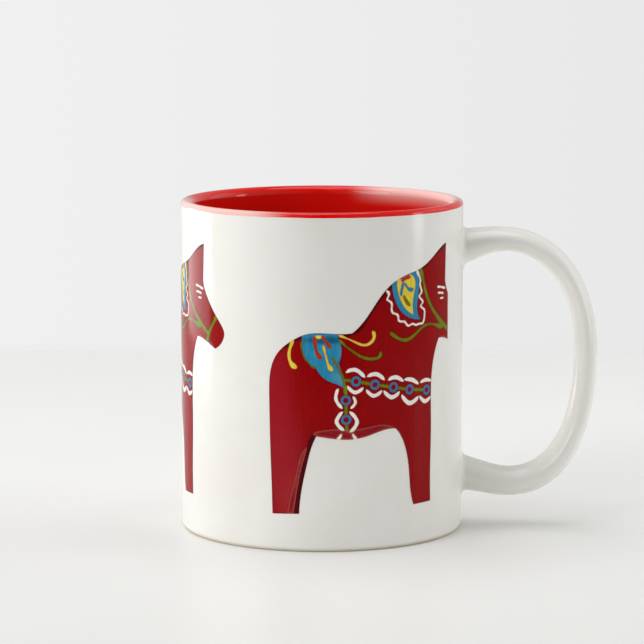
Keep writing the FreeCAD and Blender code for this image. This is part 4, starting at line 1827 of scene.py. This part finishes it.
@dataclass
class Studio:
    """A pale floor, soft lights and the camera.

    Attributes:
        lamps: the lights.
        glow: the room's own light.
        camera_distance: how far the camera is in front of the mug's axis.
        camera_height: how far it is above the floor.
        camera_dip: how far it looks down, in degrees.
        lens: its focal length.
        film_width: the width of its film.
        floor_edge: how far out the floor starts to fade, and where it has gone.
        floor_reach: how far out the floor's mesh goes.
        floor_rings: the floor's rings, as shares of that.
        painted_floor_light: how near and how far, past the mug's axis, the floor's painted light changes
            from pale to paler.
        squareness: how near a square the floor's faded edge is, where 2 is a circle.
        painted_floor_tones: the floor's colour in front of the mug and behind it, painted darker in front as
            shade and paler behind as light.
        floor_roughness: its least and greatest roughness.
        painted_backdrop_light: the backdrop's colour at the left and at the right, painted brighter at the
            left as the room's light falls.
    """

    lamps: tuple[Lamp, ...]
    glow: Glow
    camera_distance: float = 900.0
    camera_height: float = 186.6
    camera_dip: float = 8.02
    lens: float = 174.0
    film_width: float = 36.0
    floor_edge: tuple[float, float] = (318.0, 372.0)
    floor_reach: float = 700.0
    floor_rings: tuple[float, ...] = (0.08, 0.2, 0.4, 0.7, 1.0)
    painted_floor_light: tuple[float, float] = (-180.0, 220.0)
    squareness: float = 8.0
    painted_floor_tones: tuple[Colour, Colour] = (paint(240, 240, 238), paint(253, 253, 252))
    floor_roughness: tuple[float, float] = (0.38, 0.46)
    painted_backdrop_light: tuple[Colour, Colour] = (paint(241, 241, 241), paint(232, 232, 232))

    def camera(self) -> None:
        """Sets up the camera."""
        data = bpy.data.cameras.new("camera")
        data.lens = self.lens
        data.sensor_width = self.film_width
        data.clip_start, data.clip_end = 0.05, 60.0
        made = bpy.data.objects.new("camera", data)
        made.location = (0, -self.camera_distance * MM, self.camera_height * MM)
        made.rotation_euler = (math.radians(90 - self.camera_dip), 0, 0)
        bpy.context.scene.collection.objects.link(made)
        bpy.context.scene.camera = made

    def floor(self) -> None:
        """Lays a pale floor that melts into the backdrop on every side."""
        rings = [(0.0, 0.0)] + [(self.floor_reach * share, 0.0) for share in self.floor_rings]
        piece = turned("floor", rings, closed=False, segments=96)
        made, graph, shader = new_material("pale_floor")
        where = graph.vector("MULTIPLY", graph.node("ShaderNodeTexCoord").outputs["Object"], (1 / MM,) * 3)
        cloud_scale, cloud_shift = 0.006, 60.0
        soft = graph.noise(where, cloud_scale, 3.0, 0.6)
        parts = graph.split(where)
        # Painted light and shade: the floor is painted darker in front of the mug and paler behind it, with
        # a cloudy border.
        depth = graph.math("ADD", parts[1], graph.math("MULTIPLY", soft, cloud_shift))
        top = graph.blend(graph.ramp(depth, *self.painted_floor_light), *self.painted_floor_tones)
        graph.feed(shader.inputs["Base Color"], top)
        sides = [graph.math("POWER", graph.math("ABSOLUTE", parts[i]), self.squareness) for i in (0, 1)]
        away = graph.math("POWER", graph.math("ADD", *sides), 1 / self.squareness)
        graph.feed(shader.inputs["Alpha"], graph.ramp(away, self.floor_edge[1], self.floor_edge[0]))
        graph.feed(shader.inputs["Roughness"], graph.ramp(soft, *USUAL_NOISE, *self.floor_roughness))
        piece.data.materials.append(made)

    def backdrop(self) -> None:
        """The room: a pale backdrop for the camera, and a soft light from each side for the mug."""
        world = bpy.data.worlds.new("backdrop")
        bpy.context.scene.world = world
        world.use_nodes = True
        world.node_tree.nodes.clear()
        graph = Graph(world.node_tree)
        parts = graph.split(graph.node("ShaderNodeTexCoord").outputs["Generated"])
        strength: Value = 0.0
        for part, sign, bright in (
            (0, -1.0, self.glow.left), (0, 1.0, self.glow.right), (1, 1.0, self.glow.behind),
        ):
            side = graph.math("MAXIMUM", graph.math("MULTIPLY", parts[part], sign), 0.0)
            strength = graph.math("ADD", strength, graph.math("MULTIPLY", side, bright))
        around = graph.node("ShaderNodeBackground", {"Color": self.glow.colour, "Strength": strength})
        # Painted light: the backdrop is brighter at the left and darker at the right.
        half_view = 0.16
        across = graph.ramp(parts[0], -half_view, half_view)
        wall = graph.blend(across, *self.painted_backdrop_light)
        seen = graph.node("ShaderNodeBackground", {"Color": wall, "Strength": 1.0})
        path = graph.node("ShaderNodeLightPath").outputs["Is Camera Ray"]
        both = graph.node("ShaderNodeMixShader", {0: path, 1: around.outputs[0], 2: seen.outputs[0]})
        graph.node("ShaderNodeOutputWorld", {"Surface": both.outputs[0]})

    def build(self) -> None:
        """Sets the whole stage."""
        self.camera()
        self.floor()
        self.backdrop()
        for lamp in self.lamps:
            lamp.hang()
        bpy.context.scene.view_settings.view_transform = "Standard"
        LOG.info("stage: %d lamps", len(self.lamps))


# ---- the finishes and lights of this mug -----------------------------------------------------------------
GLAZES = {
    Finish.WHITE_GLAZE: GlazeFinish(
        name="white_glaze",
        colour=paint(240, 239, 234),
        cloud=paint(237, 235, 229),
        thin=paint(232, 226, 214),
        roughness=0.16,
        edges=((1.2, 0.7),),
    ),
    Finish.RED_GLAZE: GlazeFinish(
        name="red_glaze",
        colour=paint(236, 9, 4),
        cloud=paint(229, 8, 4),
        thin=paint(222, 24, 16),
        roughness=0.09,
        edges=((95.3, 96.1), (94.72, 94.5)),
        specular=0.35,
        # Painted reflection: pale colour inside and over the lip on two opposite sides, in place of a
        # window's reflection.
        painted_reflection=PaintedLipReflection(paint(255, 226, 218), side=32.0, strength=0.8, heights=(90.0, 96.3)),
    ),
}
CLAY = ClayFinish("bare_clay", paint(214, 202, 182), paint(228, 220, 206), paint(140, 112, 84))
MAROON = paint(58, 0, 8)
PINK_BROWN = paint(176, 92, 78)
# Partly the print's own pinker tone and partly a painted sheen, as light washing the rump.
ROSE_AND_SHEEN = paint(164, 40, 52)
INKS = (
    InkFinish(
        ink=Ink.RED, colour=paint(160, 1, 3), shade=paint(143, 0, 5), light=paint(168, 8, 16),
        rim=MAROON, rim_width=0.35, rim_strength=0.55, mottle_strength=0.3,
        touches=(
            # Pinker touches on the rump and hind legs: partly the print's own tone, partly a painted sheen
            # where light washes the rump.
            Touch(-11.0, 24.0, 9.0, 24.0, 0.0, ROSE_AND_SHEEN, 0.6),
            Touch(-13.0, 46.0, 7.0, 22.0, 0.0, paint(166, 20, 36), 0.7),
            Touch(-6.5, 14.0, 7.5, 13.0, 0.0, paint(176, 52, 56), 0.5),
            Touch(22.0, 74.0, 10.0, 7.0, 40.0, paint(132, 0, 8), 0.6),
        ),
    ),
    InkFinish(
        ink=Ink.LIGHT_RED, colour=paint(156, 28, 40), shade=paint(136, 10, 24), light=PINK_BROWN,
        rim=PINK_BROWN, rim_width=0.6, rim_strength=0.5, streak=(0.3, 1.4),
    ),
    InkFinish(
        ink=Ink.DARK_RED, colour=paint(84, 2, 14), shade=paint(62, 0, 10), light=paint(112, 8, 20),
        rim=paint(96, 4, 16), rim_width=0.5, rim_strength=0.4, mottle_strength=0.2,
    ),
    InkFinish(
        ink=Ink.BLUE, colour=paint(48, 150, 186), shade=paint(38, 132, 170), light=paint(92, 184, 202),
        rim=paint(74, 104, 156), rim_width=0.32, rim_strength=0.7, mottle_strength=0.45,
        touches=(
            Touch(-1.2, 56.5, 2.4, 1.6, 0.0, paint(60, 168, 190), 0.8),
            Touch(1.0, 60.4, 9.5, 1.6, 0.0, paint(20, 58, 84), 0.85),
            Touch(6.0, 56.0, 2.6, 4.2, 20.0, paint(88, 150, 186), 0.6),
            Touch(4.6, 49.5, 3.6, 2.0, -38.0, paint(104, 156, 178), 0.7),
            Touch(20.0, 43.0, 18.0, 7.0, -6.0, paint(70, 118, 172), 0.85),
            Touch(6.7, 41.0, 3.0, 7.0, 0.0, paint(70, 118, 172), 0.85),
        ),
    ),
    InkFinish(
        ink=Ink.GREEN, colour=paint(128, 142, 14), shade=paint(108, 118, 12), light=paint(160, 160, 36),
        rim=paint(104, 76, 12), rim_width=0.25, rim_strength=0.7, mottle_strength=0.45,
    ),
    InkFinish(
        ink=Ink.YELLOW, colour=paint(244, 224, 78), shade=paint(226, 200, 56), light=paint(252, 238, 140),
        rim=paint(216, 144, 62), rim_width=0.22, rim_strength=0.65, mottle_strength=0.5,
        touches=(
            Touch(14.0, 57.0, 7.0, 4.0, 0.0, paint(248, 206, 120), 0.8),
            Touch(30.5, 70.5, 4.0, 6.0, 0.0, paint(214, 204, 62), 0.6),
        ),
    ),
    InkFinish(
        ink=Ink.ORANGE, colour=paint(206, 70, 14), shade=paint(186, 44, 12), light=paint(226, 104, 44),
        rim=paint(150, 30, 16), rim_width=0.25, rim_strength=0.6,
    ),
    InkFinish(
        ink=Ink.WHITE, colour=paint(252, 248, 244), shade=paint(246, 238, 228), light=paint(255, 253, 250),
        rim=paint(206, 140, 134), rim_width=0.16, rim_strength=0.55,
    ),
)
MUG_MIDDLE = (0.0, 0.0, 50.0)
LAMPS = (
    Lamp("low_window", (-850.0, 480.0, -20.0), MUG_MIDDLE, (620.0, 220.0), 1.9),
    Lamp("overhead", (-100.0, 100.0, 1100.0), MUG_MIDDLE, (900.0, 900.0), 5.3),
    Lamp("front_left", (-800.0, -650.0, 500.0), MUG_MIDDLE, (600.0, 700.0), 3.8),
    Lamp("soft_right", (1000.0, 300.0, 500.0), MUG_MIDDLE, (700.0, 700.0), 1.17),
    Lamp("card_right", (560.0, -80.0, 162.0), (0.0, 0.0, 60.0), (100.0, 284.0), 0.42),
)
GLOW = Glow(left=1.12, right=0.66, behind=0.42, colour=(1.0, 1.0, 0.985, 1.0))
# Where the back edge of a horse's blue saddle is, along the wall from the horse's plumb line.
SADDLE_BACK = -5.7


def horse_places(sizes: MugSizes) -> tuple[float, float]:
    """How far apart the horses stand, and where the middle one's plumb line is.

    Args:
        sizes: the mug's sizes.

    Returns:
        The distance along the wall from one horse to the next, and the middle horse's plumb line from
        the point opposite the handle.
    """
    backs = []
    for horse in (Horse.MIDDLE, Horse.LAST):
        mesh = frame["nodes"][f"{horse.value}_{Ink.BLUE.value}"].data
        backs.append(min(sizes.outer * math.atan2(-v.co.y, -v.co.x) for v in mesh.vertices))
    return backs[1] - backs[0], backs[0] - SADDLE_BACK


def main() -> None:
    """Builds the mug, its print and its stage."""
    logging.basicConfig(level=logging.INFO, format="%(name)s: %(message)s")
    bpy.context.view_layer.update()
    sizes = MugSizes.measured(frame["record"])
    LOG.info("sizes: %s", sizes)
    pitch, plumb = horse_places(sizes)
    effects = Effects(sizes, pitch, plumb)
    ceramics = {finish: glaze.material(effects) for finish, glaze in GLAZES.items()}
    ceramics[Finish.CLAY] = CLAY.material(effects)
    inks = {finish.ink: finish.material(effects) for finish in INKS}
    handle = Handle(sizes, ceramics)
    crock = Crock(sizes, ceramics)
    crock.clay_shell()
    crock.lining()
    crock.wall([handle.root_plug(upper) for upper in (False, True)])
    crock.foot_well()
    handle.clay_loop()
    handle.slip_joint(upper=False)
    handle.slip_joint(upper=True)
    handle.glaze_coat()
    for horse in Horse:
        for ink in Ink:
            Film(sizes, horse, ink).build(inks[ink])
    Studio(LAMPS, GLOW).build()


if __name__ == "__main__":
    main()
